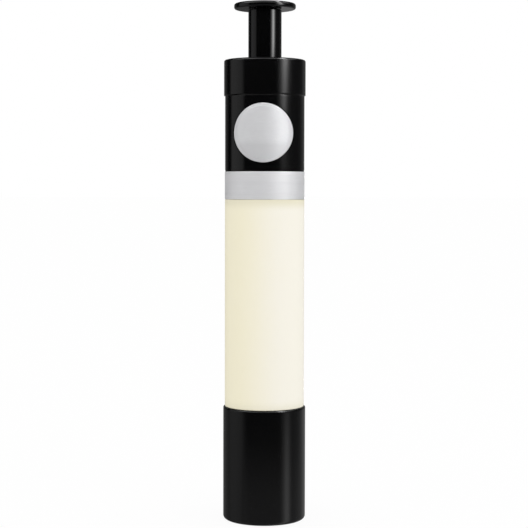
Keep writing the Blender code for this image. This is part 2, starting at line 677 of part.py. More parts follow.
def make_nozzle(pen):
    seal_height = NOZZLE_FLANGE_TOP_Z + NOZZLE_PLUG_LENGTH * SEAL_HEIGHT_SHARE
    seal_floor = NECK_BORE_RADIUS - SEAM - SEAL_WIRE - PLAY
    tip_radius = NOZZLE_TIP_DIAMETER / 2
    stop_z = FERRULE_TOP_Z + PLAY
    profile = [
        (VALVE_SEAT_RADIUS, NOZZLE_TOP_Z),
        (NOZZLE_PLUG_RADIUS, NOZZLE_TOP_Z),
        *groove(NOZZLE_PLUG_RADIUS, seal_floor, seal_height, SEAL_WIRE + 2 * PLAY),
        (NOZZLE_PLUG_RADIUS, NOZZLE_FLANGE_TOP_Z),
        (NOZZLE_FLANGE_RADIUS, NOZZLE_FLANGE_TOP_Z),
        (NOZZLE_FLANGE_RADIUS, NOZZLE_FLANGE_Z),
        (NOZZLE_CONE_DIAMETER / 2, NOZZLE_FLANGE_Z),
        (tip_radius + NOZZLE_TIP_ROUND, NOZZLE_TIP_Z + NOZZLE_TIP_ROUND),
        (tip_radius, NOZZLE_TIP_Z),
        (NOZZLE_BORE_RADIUS, NOZZLE_TIP_Z),
        (NOZZLE_BORE_RADIUS, stop_z),
        (VALVE_BORE_RADIUS, stop_z),
        (VALVE_BORE_RADIUS, VALVE_SEAT_Z),
        (VALVE_SEAT_RADIUS, VALVE_SEAT_Z),
    ]
    turned(pen, "nozzle", profile, MEDIUM_FACET_COUNT, "barrel_body", GREY_PLASTIC)
    seal_radius = NECK_BORE_RADIUS - SEAM - SEAL_WIRE / 2
    round_ring(pen, "nozzle_seal", seal_radius, SEAL_WIRE, seal_height, "barrel_body", BLACK_RUBBER)


def make_valve(pen):
    """A soft one-way valve, drawn with its lips just open, and the ring that holds it."""
    hole = VALVE_HOLE / 2
    socket_top = VALVE_NOSE_Z + TUBE_HOLD + PLAY
    profile = [
        (hole, VALVE_TOP_Z),
        (VALVE_FLANGE_RADIUS, VALVE_TOP_Z),
        (VALVE_FLANGE_RADIUS, VALVE_FLANGE_Z),
        (VALVE_NOSE_RADIUS, VALVE_FLANGE_Z),
        (VALVE_NOSE_RADIUS - VALVE_NOSE_TAPER, VALVE_NOSE_Z),
        (VALVE_SOCKET_RADIUS, VALVE_NOSE_Z),
        (VALVE_SOCKET_RADIUS, socket_top),
        (hole, socket_top + VALVE_SOCKET_RADIUS),
    ]
    turned(pen, "flow_valve", profile, SMALL_FACET_COUNT, "barrel_body", CLEAR_RUBBER)
    bottom = VALVE_TOP_Z + PLAY
    retainer = ring(RETAINER_HOLE / 2, VALVE_FLANGE_RADIUS, bottom, bottom + RETAINER_THICKNESS)
    turned(pen, "valve_retainer", retainer, MEDIUM_FACET_COUNT, "barrel_body", WHITE_PLASTIC)


def make_feed_tube(pen):
    profile = ring(TUBE_BORE / 2, TUBE_RADIUS, BACKING_Z - TUBE_IN_BRUSH, VALVE_NOSE_Z + TUBE_HOLD)
    turned(pen, "feed_tube", profile, SMALL_FACET_COUNT, "barrel_body", STEEL)


def make_brush_ferrule(pen):
    """A thin metal tube with one crimped ring round it."""
    crimp_z = BACKING_Z - FERRULE_CRIMP_WIDTH
    crimped = FERRULE_RADIUS - FERRULE_CRIMP_DEPTH
    half = FERRULE_CRIMP_WIDTH / 2
    profile = [
        (FERRULE_BORE_RADIUS, FERRULE_TOP_Z),
        (FERRULE_RADIUS, FERRULE_TOP_Z),
        (FERRULE_RADIUS, crimp_z + half),
        (crimped, crimp_z),
        (FERRULE_RADIUS, crimp_z - half),
        (FERRULE_RADIUS, FERRULE_Z),
        (FERRULE_BORE_RADIUS, FERRULE_Z),
    ]
    turned(pen, "brush_ferrule", profile, MEDIUM_FACET_COUNT, "barrel_body", STEEL)


def make_bristles(pen):
    """The backing is a ring round the feed tube. Each strand grows from one triangle of its lower face."""
    outer = FERRULE_BORE_RADIUS - PLAY
    inner = VALVE_SOCKET_RADIUS
    step = (outer - inner) / STRAND_RING_COUNT
    profile = [(inner, BACKING_TOP_Z), (outer, BACKING_TOP_Z)]
    profile += [(outer - step * i, BACKING_Z) for i in range(STRAND_RING_COUNT + 1)]
    bristles = turned(pen, "brush_bristles", profile, STRAND_COUNT, "barrel_body", BRISTLE)
    mesh = evaluated_mesh(bristles)
    bristles.modifiers.clear()
    shape = bmesh.new()
    shape.from_mesh(mesh)
    lower = [face for face in shape.faces if face.normal.z < DOWNWARD_SHARE]
    roots = bmesh.ops.triangulate(shape, faces=lower)["faces"]
    bmesh.ops.inset_individual(shape, faces=roots, thickness=STRAND_GAP / 2, use_even_offset=True)
    tips = bmesh.ops.extrude_discrete_faces(shape, faces=roots)["faces"]
    spread = Vector((BRUSH_TIP_WIDTH_SHARE, BRUSH_TIP_DEPTH_SHARE))
    for tip in tips:
        middle = tip.calc_center_median()
        shorter = BRUSH_DOME * (middle.xy.length / outer) ** 2
        for vert in tip.verts:
            own = (vert.co - middle).xy * STRAND_TIP_SHARE
            place = (middle.xy + own) * spread
            vert.co = (place.x, place.y, BRUSH_TIP_Z + shorter)
    shape.to_mesh(mesh)
    shape.free()
    mesh.name = bristles.name
    bristles.data = mesh
    print(f"bristles: {len(tips)} strands")


# Follower


def piston_ring_heights():
    return [PISTON_EDGE_Z + PISTON_LENGTH * share for share in PISTON_RING_SHARES]


def make_follower_piston(pen):
    ring_radius = RESERVOIR_RADIUS - SEAM - PISTON_RING_WIRE / 2
    floor = ring_radius - PISTON_RING_WIRE / 2 - PLAY
    front, rear = piston_ring_heights()
    width = PISTON_RING_WIRE + 2 * PLAY
    socket = FOOT_CORNER_RADIUS + PLAY
    profile = [
        (0, SOCKET_FLOOR_Z),
        (socket, SOCKET_FLOOR_Z),
        (socket, SOCKET_TOP_Z),
        (SCREW_BORE_RADIUS, SOCKET_TOP_Z),
        (SCREW_BORE_RADIUS, PISTON_TOP_Z),
        (PISTON_RADIUS, PISTON_TOP_Z),
        *groove(PISTON_RADIUS, floor, rear, width),
        *groove(PISTON_RADIUS, floor, front, width),
        (PISTON_RADIUS, PISTON_EDGE_Z),
        (0, PISTON_EDGE_Z - PISTON_CONE),
    ]
    turned(pen, "follower_piston", profile, MEDIUM_FACET_COUNT, "follower", WHITE_PLASTIC, closed=False)
    for name, height in (("piston_ring_front", front), ("piston_ring_rear", rear)):
        round_ring(pen, name, ring_radius, PISTON_RING_WIRE, height, "follower", BLACK_RUBBER)


def make_drive_screw(pen):
    """A flat-sided bar with thread ridges on its two edges, and a foot that snaps into the piston."""
    crest = SCREW_WIDTH / 2
    flank = THREAD_PITCH * THREAD_FLANK_SHARE
    crest_length = THREAD_PITCH * THREAD_CREST_SHARE
    foot = SCREW_FOOT_WIDTH / 2
    foot_top = SCREW_FOOT_Z + SCREW_FOOT_HEIGHT
    edge = [(foot, SCREW_FOOT_Z), (foot, foot_top), (THREAD_ROOT, foot_top)]
    ridges = int((SCREW_TOP_Z - PISTON_TOP_Z) / THREAD_PITCH)
    for i in range(ridges, 0, -1):
        start = SCREW_TOP_Z - THREAD_PITCH * i
        edge += [
            (THREAD_ROOT, start),
            (crest, start + flank),
            (crest, start + flank + crest_length),
            (THREAD_ROOT, start + 2 * flank + crest_length),
        ]
    edge.append((THREAD_ROOT, SCREW_TOP_Z))
    outline = edge + [(-x, z) for x, z in reversed(edge)]
    curve = bpy.data.curves.new("drive_screw", "CURVE")
    curve.dimensions = "2D"
    curve.fill_mode = "BOTH"
    curve.extrude = SCREW_THICKNESS / 2
    spline = curve.splines.new("POLY")
    spline.points.add(len(outline) - 1)
    for point, (x, z) in zip(spline.points, outline):
        point.co = (x, z, 0, 1)
    spline.use_cyclic_u = True
    screw = pen.add_piece("drive_screw", curve, "follower", WHITE_PLASTIC)
    screw.rotation_euler = (math.radians(90), 0, 0)


# Spiral drive


def make_mechanism_sleeve(pen):
    """A cup whose floor is keyed to the flat-sided screw, with a ledge that carries the spring seat."""
    ledge = SPRING_SEAT_Z - PLAY
    hole = SCREW_THICKNESS / 2
    profile = [
        (SLEEVE_BORE_RADIUS, SLEEVE_TOP_Z),
        (SLEEVE_RADIUS, SLEEVE_TOP_Z),
        (SLEEVE_RADIUS, SLEEVE_Z),
        (hole, SLEEVE_Z),
        (hole, SLEEVE_FLOOR_Z),
        (DRIVE_BORE_RADIUS, SLEEVE_FLOOR_Z),
        (DRIVE_BORE_RADIUS, ledge),
        (SLEEVE_BORE_RADIUS, ledge),
    ]
    sleeve = turned(pen, "mechanism_sleeve", profile, LARGE_FACET_COUNT, "barrel_body", GREY_PLASTIC)
    slot = box_cutter(
        pen,
        "screw_slot",
        (SCREW_WIDTH + 2 * PLAY, SCREW_THICKNESS + 2 * PLAY, SLEEVE_FLOOR + 2 * OVERRUN),
        (0, 0, SLEEVE_Z + SLEEVE_FLOOR / 2),
    )
    combine(sleeve, slot, "DIFFERENCE")
    settle(sleeve)


def make_drive_nut(pen):
    """Saw teeth round its rim for the pawls, and face teeth on top for the rotor."""
    neck = NUT_NECK_DIAMETER / 2
    crown = ROTOR_FLANGE_DIAMETER / 2
    profile = [
        (SCREW_BORE_RADIUS, NUT_TOOTH_ROOT_Z),
        (crown, NUT_TOOTH_ROOT_Z),
        (crown, NUT_CROWN_Z),
        (neck, NUT_CROWN_Z),
        (neck, NUT_RIM_TOP_Z),
        (NUT_RADIUS, NUT_RIM_TOP_Z),
        (NUT_RADIUS, NUT_Z),
        (SCREW_BORE_RADIUS, NUT_Z),
    ]
    steps = 3 * NUT_TOOTH_COUNT
    nut = settle(turned(pen, "drive_nut", profile, steps, "nut", WHITE_PLASTIC))
    for vert in nut.data.vertices:
        angle = math.atan2(vert.co.y, vert.co.x)
        at_rim = abs(vert.co.xy.length - NUT_RADIUS) < SEAM
        if at_rim and vert.co.z < NUT_RIM_TOP_Z + SEAM:
            tooth = NUT_RADIUS - NUT_RATCHET_DEPTH * (1 - saw(angle, NUT_TOOTH_COUNT))
            vert.co.xy = vert.co.xy.normalized() * tooth
        elif vert.co.z > NUT_TOOTH_ROOT_Z - SEAM:
            vert.co.z += CROWN_TOOTH_HEIGHT * saw(angle, CROWN_TOOTH_COUNT)


def groove_points(start_angle):
    """The middle line of one spiral groove of the rotor, from below its lowest pin place to above its top."""
    bottom = PIN_Z - PLUNGER_STROKE - PIN_DIAMETER / 2 - PLAY
    top = ROTOR_TOP_Z + OVERRUN
    points = []
    for i in range(GROOVE_POINTS + 1):
        height = bottom + (top - bottom) * i / GROOVE_POINTS
        angle = start_angle - ROTOR_TURN * (PIN_Z - height) / PLUNGER_STROKE
        points.append((ROTOR_RADIUS * math.cos(angle), ROTOR_RADIUS * math.sin(angle), height))
    return points


def make_spiral_rotor(pen):
    """A tube with two spiral grooves, on a flange with face teeth below."""
    flange = ROTOR_FLANGE_DIAMETER / 2
    root = ROTOR_Z + CROWN_TOOTH_HEIGHT
    profile = [
        (SCREW_BORE_RADIUS, ROTOR_TOP_Z),
        (ROTOR_RADIUS, ROTOR_TOP_Z),
        (ROTOR_RADIUS, ROTOR_FLANGE_TOP_Z),
        (flange, ROTOR_FLANGE_TOP_Z),
        (flange, root),
        (SCREW_BORE_RADIUS, root),
    ]
    rotor = turned(pen, "spiral_rotor", profile, 3 * CROWN_TOOTH_COUNT, "rotor", GREY_PLASTIC)
    for i, start_angle in enumerate((0, math.pi)):
        curve = tube_curve(f"rotor_groove_{i}", groove_points(start_angle), GROOVE_WIDTH / 2)
        combine(rotor, curve_cutter(pen, f"rotor_groove_{i}", curve), "DIFFERENCE")
    settle(rotor)
    for vert in rotor.data.vertices:
        if vert.co.z < root + SEAM / 2:
            angle = math.atan2(vert.co.y, vert.co.x)
            vert.co.z += CROWN_TOOTH_HEIGHT * (saw(angle, CROWN_TOOTH_COUNT) - 1)


def make_pawl_ring(pen):
    """A fixed ring with slanted fingers that stand just clear of the nut's saw teeth."""
    inner = PAWL_RING_RADIUS - PAWL_RING_WALL
    bottom = SLEEVE_FLOOR_Z + PLAY
    profile = ring(inner, PAWL_RING_RADIUS, bottom, bottom + PAWL_RING_LENGTH)
    pawls = turned(pen, "pawl_ring", profile, 2 * SMALL_FACET_COUNT, "barrel_body", GREY_PLASTIC)
    depth = PAWL_REACH + PAWL_RING_WALL / 2
    for i in range(PAWL_COUNT):
        name = f"pawl_{i}"
        size = (depth, PAWL_LENGTH, PAWL_RING_LENGTH / 2)
        finger = box_cutter(pen, name, size, (0, 0, 0))
        place = Matrix.Translation((inner + depth / 2 - PAWL_REACH, 0, bottom + PAWL_RING_LENGTH / 2))
        turn = Matrix.Rotation(math.tau * i / PAWL_COUNT, 4, "Z")
        finger.data.transform(turn @ place @ Matrix.Rotation(PAWL_SLANT, 4, "X"))
        combine(pawls, finger, "UNION")
    settle(pawls)


def make_spring_seat(pen):
    profile = ring(SPRING_SEAT_BORE_RADIUS, SLEEVE_BORE_RADIUS - PLAY, SPRING_SEAT_Z, SPRING_SEAT_TOP_Z)
    turned(pen, "spring_seat", profile, MEDIUM_FACET_COUNT, "barrel_body", STEEL)


def spring_points():
    """Points along the spring's middle line. Its end coils lie closer together than the rest."""
    bottom = SPRING_Z + SPRING_WIRE / 2
    rise = SPRING_TOP_Z - SPRING_WIRE / 2 - bottom
    free_coils = COIL_COUNT - 2 * END_COIL_COUNT
    end_rise = END_COIL_COUNT * SPRING_END_PITCH
    free_pitch = (rise - 2 * end_rise) / free_coils
    points = []
    for i in range(COIL_COUNT * COIL_POINTS + 1):
        coils = i / COIL_POINTS
        height = SPRING_END_PITCH * min(coils, END_COIL_COUNT)
        height += free_pitch * min(max(coils - END_COIL_COUNT, 0), free_coils)
        height += SPRING_END_PITCH * max(coils - END_COIL_COUNT - free_coils, 0)
        angle = math.tau * coils
        across = Vector((math.cos(angle), math.sin(angle), 0)) * SPRING_RADIUS
        points.append(across + Vector((0, 0, bottom + height)))
    for end, sign in ((0, -1), (-1, 1)):
        angle = math.tau * (0 if end == 0 else COIL_COUNT)
        along = Vector((-math.sin(angle), math.cos(angle), 0)) * sign
        straight = points[end] + along * SPRING_WIRE
        points.insert(0 if end == 0 else len(points), straight)
    return points


def least_self_gap(points, wire, skip):
    """The least gap between turns: the distance of points more than skip points apart, less the wire."""
    gaps = [
        (points[j] - points[i]).length - wire
        for i in range(len(points))
        for j in range(i + skip, len(points))
    ]
    return min(gaps)


def make_return_spring(pen):
    points = spring_points()
    curve = tube_curve("return_spring", points, SPRING_WIRE / 2)
    pen.add_piece("return_spring", curve, "barrel_body", STEEL)
    gap = least_self_gap(points, SPRING_WIRE, COIL_POINTS // 2)
    print(f"return_spring: {COIL_COUNT} curls, least gap between them {gap / MM:.2f} mm")


# Plunger


def make_plunger_stem(pen):
    top = BUTTON_Z - SEAM
    profile = [
        (SCREW_BORE_RADIUS, top),
        (STEM_RADIUS, top),
        (STEM_RADIUS, STOP_TOP_Z),
        (STOP_RADIUS, STOP_TOP_Z),
        (STOP_RADIUS, STOP_Z),
        (SKIRT_RADIUS, STOP_Z),
        (SKIRT_RADIUS, SKIRT_END_Z),
        (SKIRT_BORE_RADIUS, SKIRT_END_Z),
        (SKIRT_BORE_RADIUS, SKIRT_ROOF_Z),
        (SCREW_BORE_RADIUS, SKIRT_ROOF_Z),
    ]
    stem = turned(pen, "plunger_stem", profile, MEDIUM_FACET_COUNT, "plunger", BLACK_GLOSS)
    keyway_depth = STOP_RADIUS - KEY_TIP_RADIUS + PLAY
    keyway = box_cutter(
        pen,
        "stop_keyway",
        (keyway_depth + OVERRUN, KEY_WIDTH + 2 * PLAY, STOP_THICKNESS + 2 * OVERRUN),
        (STOP_RADIUS + (OVERRUN - keyway_depth) / 2, 0, STOP_Z + STOP_THICKNESS / 2),
    )
    combine(stem, keyway, "DIFFERENCE")
    across = Matrix.Translation((0, 0, PIN_Z)) @ Matrix.Rotation(math.radians(90), 4, "Y")
    length = 2 * (SKIRT_RADIUS + OVERRUN)
    hole_mesh = mesh_of("pin_hole", rod_shape(PIN_DIAMETER / 2 + SEAM, length, SMALL_FACET_COUNT, across))
    combine(stem, pen.add_cutter("pin_hole", hole_mesh), "DIFFERENCE")
    settle(stem)


def make_drive_pins(pen):
    """Two pins through the skirt, whose inner ends run in the rotor's grooves."""
    inner = ROTOR_RADIUS - GROOVE_WIDTH / 2 + PLAY
    length = SKIRT_RADIUS - SEAM - inner
    for name, side in (("drive_pin_right", 1), ("drive_pin_left", -1)):
        place = Matrix.Translation((side * (inner + length / 2), 0, PIN_Z))
        turn = Matrix.Rotation(math.radians(90), 4, "Y")
        mesh = mesh_of(name, rod_shape(PIN_DIAMETER / 2, length, SMALL_FACET_COUNT, place @ turn))
        settle(pen.add_piece(name, mesh, "plunger", STEEL))


def make_thumb_button(pen):
    """A thin disc with a rounded rim, on a plug that fills the top of the stem's bore."""
    radius = BUTTON_DIAMETER / 2
    plug = SCREW_BORE_RADIUS - PLAY
    upper = (radius - BUTTON_ROUND, BUTTON_TOP_Z - BUTTON_ROUND)
    lower = (radius - BUTTON_LOWER_ROUND, BUTTON_Z + BUTTON_LOWER_ROUND)
    profile = [(0, BUTTON_TOP_Z)]
    profile += arc(upper, BUTTON_ROUND, 90, 0)
    profile += arc(lower, BUTTON_LOWER_ROUND, 0, -90)
    profile += [(plug, BUTTON_Z), (plug, BUTTON_Z - BUTTON_PLUG_LENGTH), (0, BUTTON_Z - BUTTON_PLUG_LENGTH)]
    turned(pen, "thumb_button", profile, LARGE_FACET_COUNT, "plunger", BLACK_GLOSS, closed=False)


def main():
    clear_scene()
    pen = Pen()
    pen.add_body("barrel_body", 0)
    pen.add_body("cap", 0)
    pen.add_body("follower", PISTON_EDGE_Z)
    pen.add_body("nut", NUT_Z)
    pen.add_body("rotor", ROTOR_Z)
    pen.add_body("plunger", SKIRT_END_Z)
    make_cap_shell(pen)
    make_cap_liner(pen)
    make_barrel(pen)
    make_cap_grip_ring(pen)
    make_trim_band(pen)
    make_rear_housing(pen)
    make_badge_plate(pen)
    make_end_collar(pen)
    make_guide_bush(pen)
    make_nozzle(pen)
    make_valve(pen)
    make_feed_tube(pen)
    make_brush_ferrule(pen)
    make_bristles(pen)
    make_follower_piston(pen)
    make_drive_screw(pen)
    make_mechanism_sleeve(pen)
    make_drive_nut(pen)
    make_spiral_rotor(pen)
    make_pawl_ring(pen)
    make_spring_seat(pen)
    make_return_spring(pen)
    make_plunger_stem(pen)
    make_drive_pins(pen)
    make_thumb_button(pen)
    for piece in pen.parts.objects:
        if piece.type == "MESH" and piece.modifiers:
            settle(piece)


main()
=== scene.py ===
"""The look of a press pen for nail polish: its pieces, their finishes and a small studio.

It is built around the packed model, whose solids it keeps or replaces.
"""

import json
import math

import bmesh
import bpy
from bpy.props import FloatProperty, FloatVectorProperty, IntProperty, PointerProperty
from mathutils import Matrix, Vector

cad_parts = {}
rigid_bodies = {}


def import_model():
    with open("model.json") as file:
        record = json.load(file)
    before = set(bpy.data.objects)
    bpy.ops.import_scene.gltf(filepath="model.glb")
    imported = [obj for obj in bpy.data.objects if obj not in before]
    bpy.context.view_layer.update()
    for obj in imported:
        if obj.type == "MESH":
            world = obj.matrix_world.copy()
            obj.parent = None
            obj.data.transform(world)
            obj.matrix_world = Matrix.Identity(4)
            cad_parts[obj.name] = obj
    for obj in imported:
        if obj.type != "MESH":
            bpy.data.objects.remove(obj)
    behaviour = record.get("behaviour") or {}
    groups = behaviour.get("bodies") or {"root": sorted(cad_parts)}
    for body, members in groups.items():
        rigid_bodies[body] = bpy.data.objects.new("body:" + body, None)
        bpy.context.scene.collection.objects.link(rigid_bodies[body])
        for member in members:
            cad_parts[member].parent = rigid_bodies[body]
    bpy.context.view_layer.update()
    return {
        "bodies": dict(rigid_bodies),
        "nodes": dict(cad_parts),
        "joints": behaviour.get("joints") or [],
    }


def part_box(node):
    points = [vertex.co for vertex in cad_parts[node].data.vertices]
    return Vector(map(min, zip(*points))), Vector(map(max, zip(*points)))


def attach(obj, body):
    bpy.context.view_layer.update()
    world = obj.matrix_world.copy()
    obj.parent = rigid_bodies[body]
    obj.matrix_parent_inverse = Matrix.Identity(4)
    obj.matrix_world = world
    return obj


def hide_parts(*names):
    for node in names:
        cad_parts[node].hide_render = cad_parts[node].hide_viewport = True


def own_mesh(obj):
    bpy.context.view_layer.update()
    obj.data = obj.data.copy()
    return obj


bl_info = {
    "name": "Nail polish pen",
    "version": (1, 0, 0),
    "blender": (4, 5, 0),
    "location": "View3D > Sidebar > Pen",
    "description": "Builds the pen's pieces, their finishes and a small studio around the packed model",
    "category": "Add Mesh",
}

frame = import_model()

MM = 0.001
WELD = 0.0005 * MM  # closer points are merged
PLAY = 0.3 * MM  # between pieces that move on each other
SEAM = 0.15 * MM  # between pieces that are fixed to each other
SHARP_ANGLE = math.radians(32)
GUARD = 0.12 * MM  # how far from a rounded edge a flat face gets a loop of its own, which keeps it flat
RIGHT_ANGLE = math.radians(90)
FINE_STEPS = 192  # facets round the large outer pieces
BADGE_THICKNESS = 0.375 * MM


# Sizes read from the frame


def low_of(node):
    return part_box(node)[0].z


def high_of(node):
    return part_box(node)[1].z


def radius_of(node):
    low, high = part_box(node)
    return (high.x - low.x) / 2


def middle_of(node):
    return (low_of(node) + high_of(node)) / 2


def half_height_of(node):
    return (high_of(node) - low_of(node)) / 2


# Sizes, colours and studio values that a user would change


def length_prop(name, description, default):
    return FloatProperty(
        name=name, description=description, default=default, min=0.0, precision=5, unit="LENGTH"
    )


def share_prop(name, description, default):
    return FloatProperty(
        name=name, description=description, default=default, min=0.0, max=1.0, subtype="FACTOR"
    )


def colour_prop(name, description, default):
    return FloatVectorProperty(
        name=name, description=description, default=default, size=3, subtype="COLOR"
    )


def angle_prop(name, description, degrees):
    return FloatProperty(
        name=name, description=description, default=math.radians(degrees), unit="ROTATION"
    )


def plain_prop(name, description, default, unit="NONE"):
    return FloatProperty(name=name, description=description, default=default, unit=unit)


class PenCapSizes(bpy.types.PropertyGroup):
    """Sizes of the cap and its inner cap"""

    radius: length_prop("Radius", "Outer radius of the cap", radius_of("cap_shell"))
    height: length_prop("Height", "Height of the cap", high_of("cap_shell"))
    bore: length_prop("Bore radius", "Inner radius of the cap", 7.7 * MM)
    end_thickness: length_prop("End thickness", "Thickness of the cap's closed end", 1.4 * MM)
    end_round: length_prop("End rounding", "Rounding of the edge that the pen stands on", 0.8 * MM)
    rim_round: length_prop("Rim rounding", "Rounding of the cap's open rim", 0.4 * MM)
    liner_wall: length_prop("Inner cap wall", "Wall of the inner cap", 1.0 * MM)
    liner_floor: length_prop("Inner cap floor", "Floor of the inner cap", 0.8 * MM)


class PenBarrelSizes(bpy.types.PropertyGroup):
    """Sizes of the barrel, the band and the housing"""

    radius: length_prop("Radius", "Outer radius of the barrel", radius_of("barrel"))
    edge_round: length_prop("Edge rounding", "Rounding of the fine outer edges", 0.08 * MM)
    fine_seam: length_prop("Fine seam", "Gap between the barrel and what it meets", 0.03 * MM)
    front_spigot: length_prop("Front spigot radius", "Radius of the spigot that the cap grips", 7.4 * MM)
    rear_spigot: length_prop("Rear spigot radius", "Radius of the spigot inside the band", 7.8 * MM)
    neck: length_prop("Neck radius", "Bore of the neck that holds the nozzle", 5.4 * MM)
    reservoir: length_prop("Reservoir radius", "Bore that holds the polish", 6.5 * MM)
    seat: length_prop("Seat radius", "Bore that holds the mechanism", 7.1 * MM)
    floor: length_prop("Reservoir floor", "Height of the reservoir's floor", 28.5 * MM)
    ledge: length_prop("Ledge", "Height of the ledge under the mechanism", 61.2 * MM)
    lip: length_prop("Housing lip", "Length of the set-back lip under the housing", 0.18 * MM)
    lip_step: length_prop("Lip step", "How far the lip is set back", 0.06 * MM)
    band_round: length_prop("Band rounding", "Rounding of the band's edges", 0.12 * MM)
    band_line: length_prop("Band line depth", "Depth of the fine line under its lip", 0.05 * MM)
    badge_round: length_prop("Badge rounding", "Rounding of the badge's rim", 0.14 * MM)
    badge_line: length_prop("Badge line depth", "Depth of the fine ring inside its rim", 0.05 * MM)


class PenPressSizes(bpy.types.PropertyGroup):
    """Sizes of the end collar, the stem, the thumb disc and the return spring"""

    collar_round: length_prop("Collar rounding", "Rounding of the collar's upper edge", 0.4 * MM)
    hole: length_prop("Stem hole radius", "Radius of the hole that the stem runs in", 3.84 * MM)
    collar_spigot: length_prop("Collar spigot radius", "Radius of the collar's spigot", 6.8 * MM)
    collar_bore: length_prop("Collar bore radius", "Radius inside the collar's spigot", 6.2 * MM)
    stem: length_prop("Stem radius", "Outer radius of the stem", 3.54 * MM)
    stem_bore: length_prop("Stem bore radius", "Bore of the stem", 2.41 * MM)
    skirt: length_prop("Skirt radius", "Outer radius of the stem's skirt", 4.4 * MM)
    skirt_bore: length_prop("Skirt bore radius", "Bore of the stem's skirt", 3.75 * MM)
    disc_round: length_prop("Disc rounding", "Rounding of the thumb disc's upper edge", 0.45 * MM)
    disc_lower_round: length_prop("Disc lower rounding", "Rounding of its lower edge", 0.42 * MM)
    disc_thickness: length_prop("Disc thickness", "Thickness of the thumb disc", 1.22 * MM)
    spring: length_prop("Spring radius", "Radius to the middle of the spring's wire", 5.05 * MM)
    wire: length_prop("Spring wire", "Diameter of the spring's wire", 0.7 * MM)
    coils: IntProperty(name="Coils", description="Turns of the return spring", default=8, min=4, max=20)


class PenBrushSizes(bpy.types.PropertyGroup):
    """Sizes of the nozzle, the ferrule and the brush"""

    plug: length_prop("Plug radius", "Radius of the nozzle's plug", 5.1 * MM)
    cone: length_prop("Cone radius", "Radius of the nozzle's cone at its flange", 4.4 * MM)
    tip: length_prop("Tip radius", "Radius of the nozzle's tip", 3.0 * MM)
    nozzle_bore: length_prop("Nozzle bore radius", "Bore that the ferrule sits in", 2.55 * MM)
    valve_bore: length_prop("Valve bore radius", "Bore round the valve's nose", 2.0 * MM)
    valve_seat: length_prop("Valve seat radius", "Radius of the valve's seat", 3.6 * MM)
    ferrule_bore: length_prop("Ferrule bore radius", "Bore of the ferrule", 1.95 * MM)
    strand: length_prop("Strand radius", "Radius of a strand at its root", 0.062 * MM)
    tip_depth: share_prop("Tip depth", "Depth of the brush's tip as a share of its root", 0.5)
    tip_width: share_prop("Tip width", "Width of the brush's tip as a share of its root", 0.82)
    dome: length_prop("Dome", "How much shorter the outermost strands are", 2.2 * MM)


class PenColours(bpy.types.PropertyGroup):
    """Colours and gloss of the pen's finishes"""

    black: colour_prop("Black", "Black plastic", (0.0019, 0.0019, 0.0021))
    satin: share_prop("Satin roughness", "Roughness of the cap", 0.17)
    gloss: share_prop("Gloss roughness", "Roughness of the housing and the collar", 0.15)
    polish: share_prop("Polish roughness", "Roughness of the stem and the thumb disc", 0.1)
    cream: colour_prop("Cream", "The barrel's cream lacquer", (0.88, 0.83, 0.64))
    # Painted sheen: the paler, cooler cream that the barrel turns to towards +X
    sheen_cream: colour_prop("Cool cream", "The lacquer towards +X", (0.88, 0.847, 0.752))
    silver: colour_prop("Silver", "The band and the badge", (0.825, 0.825, 0.84))
    steel: colour_prop("Steel", "Spring, ferrule and pins", (0.56, 0.56, 0.55))
    white: colour_prop("White plastic", "Moulded inner pieces", (0.8, 0.8, 0.77))
    grey: colour_prop("Grey plastic", "Moulded drive pieces", (0.3, 0.31, 0.32))
    rubber: colour_prop("Black rubber", "Sealing rings", (0.02, 0.02, 0.02))
    clear_rubber: colour_prop("Clear rubber", "The valve", (0.62, 0.6, 0.53))
    bristle: colour_prop("Bristle", "The brush's strands", (0.74, 0.7, 0.6))


class PenStudio(bpy.types.PropertyGroup):
    """The floor, the light and the camera"""

    fill: plain_prop("Fill light", "Strength of the plain light from all round", 1.0)
    key: plain_prop("Right light", "Power of the soft light on the right", 0.4)
    lens: plain_prop("Lens", "Focal length in millimetres on a 36 mm sensor", 101.28)
    distance: length_prop("Camera distance", "From the camera to the pen's axis", 318.5 * MM)
    eye: length_prop("Camera height", "Height of the camera above the floor", 71.05 * MM)
    aside: plain_prop("Camera aside", "Offset to the right", -0.142 * MM, "LENGTH")
    tilt: angle_prop("Tilt", "How far the camera looks down", 2.456)
    down: plain_prop("Shift", "Lens shift, in shares of the picture's width", -0.0221)
    roll: angle_prop("Roll", "The camera's lean", 0.11)
    turn: angle_prop("Turn", "The studio's turn round the pen", 2.6)
    surround: length_prop("Surround radius", "Radius of the panels that the gloss shows", 250.0 * MM)
    strip: plain_prop("Strip", "Strength of the lamp strip that the gloss shows", 8.5)
    lamp: plain_prop("High lamp", "Strength of the high lamp that the edges glint with", 19.0)
    high: plain_prop("High panels", "Strength of the high panels that the silver shows", 2.4)


# Shader trees


class Value:
    """A shader socket that arithmetic works on. Each operation adds a Math node."""

    def __init__(self, tree, socket):
        self.tree = tree
        self.socket = socket

    def maths(self, operation, first, second):
        return self.tree.node("ShaderNodeMath", {"operation": operation}, {0: first, 1: second})

    def __add__(self, other):
        return self.maths("ADD", self, other)

    def __sub__(self, other):
        return self.maths("SUBTRACT", self, other)

    def __rsub__(self, other):
        return self.maths("SUBTRACT", other, self)

    def __mul__(self, other):
        return self.maths("MULTIPLY", self, other)

    def __truediv__(self, other):
        return self.maths("DIVIDE", self, other)

    __radd__ = __add__
    __rmul__ = __mul__


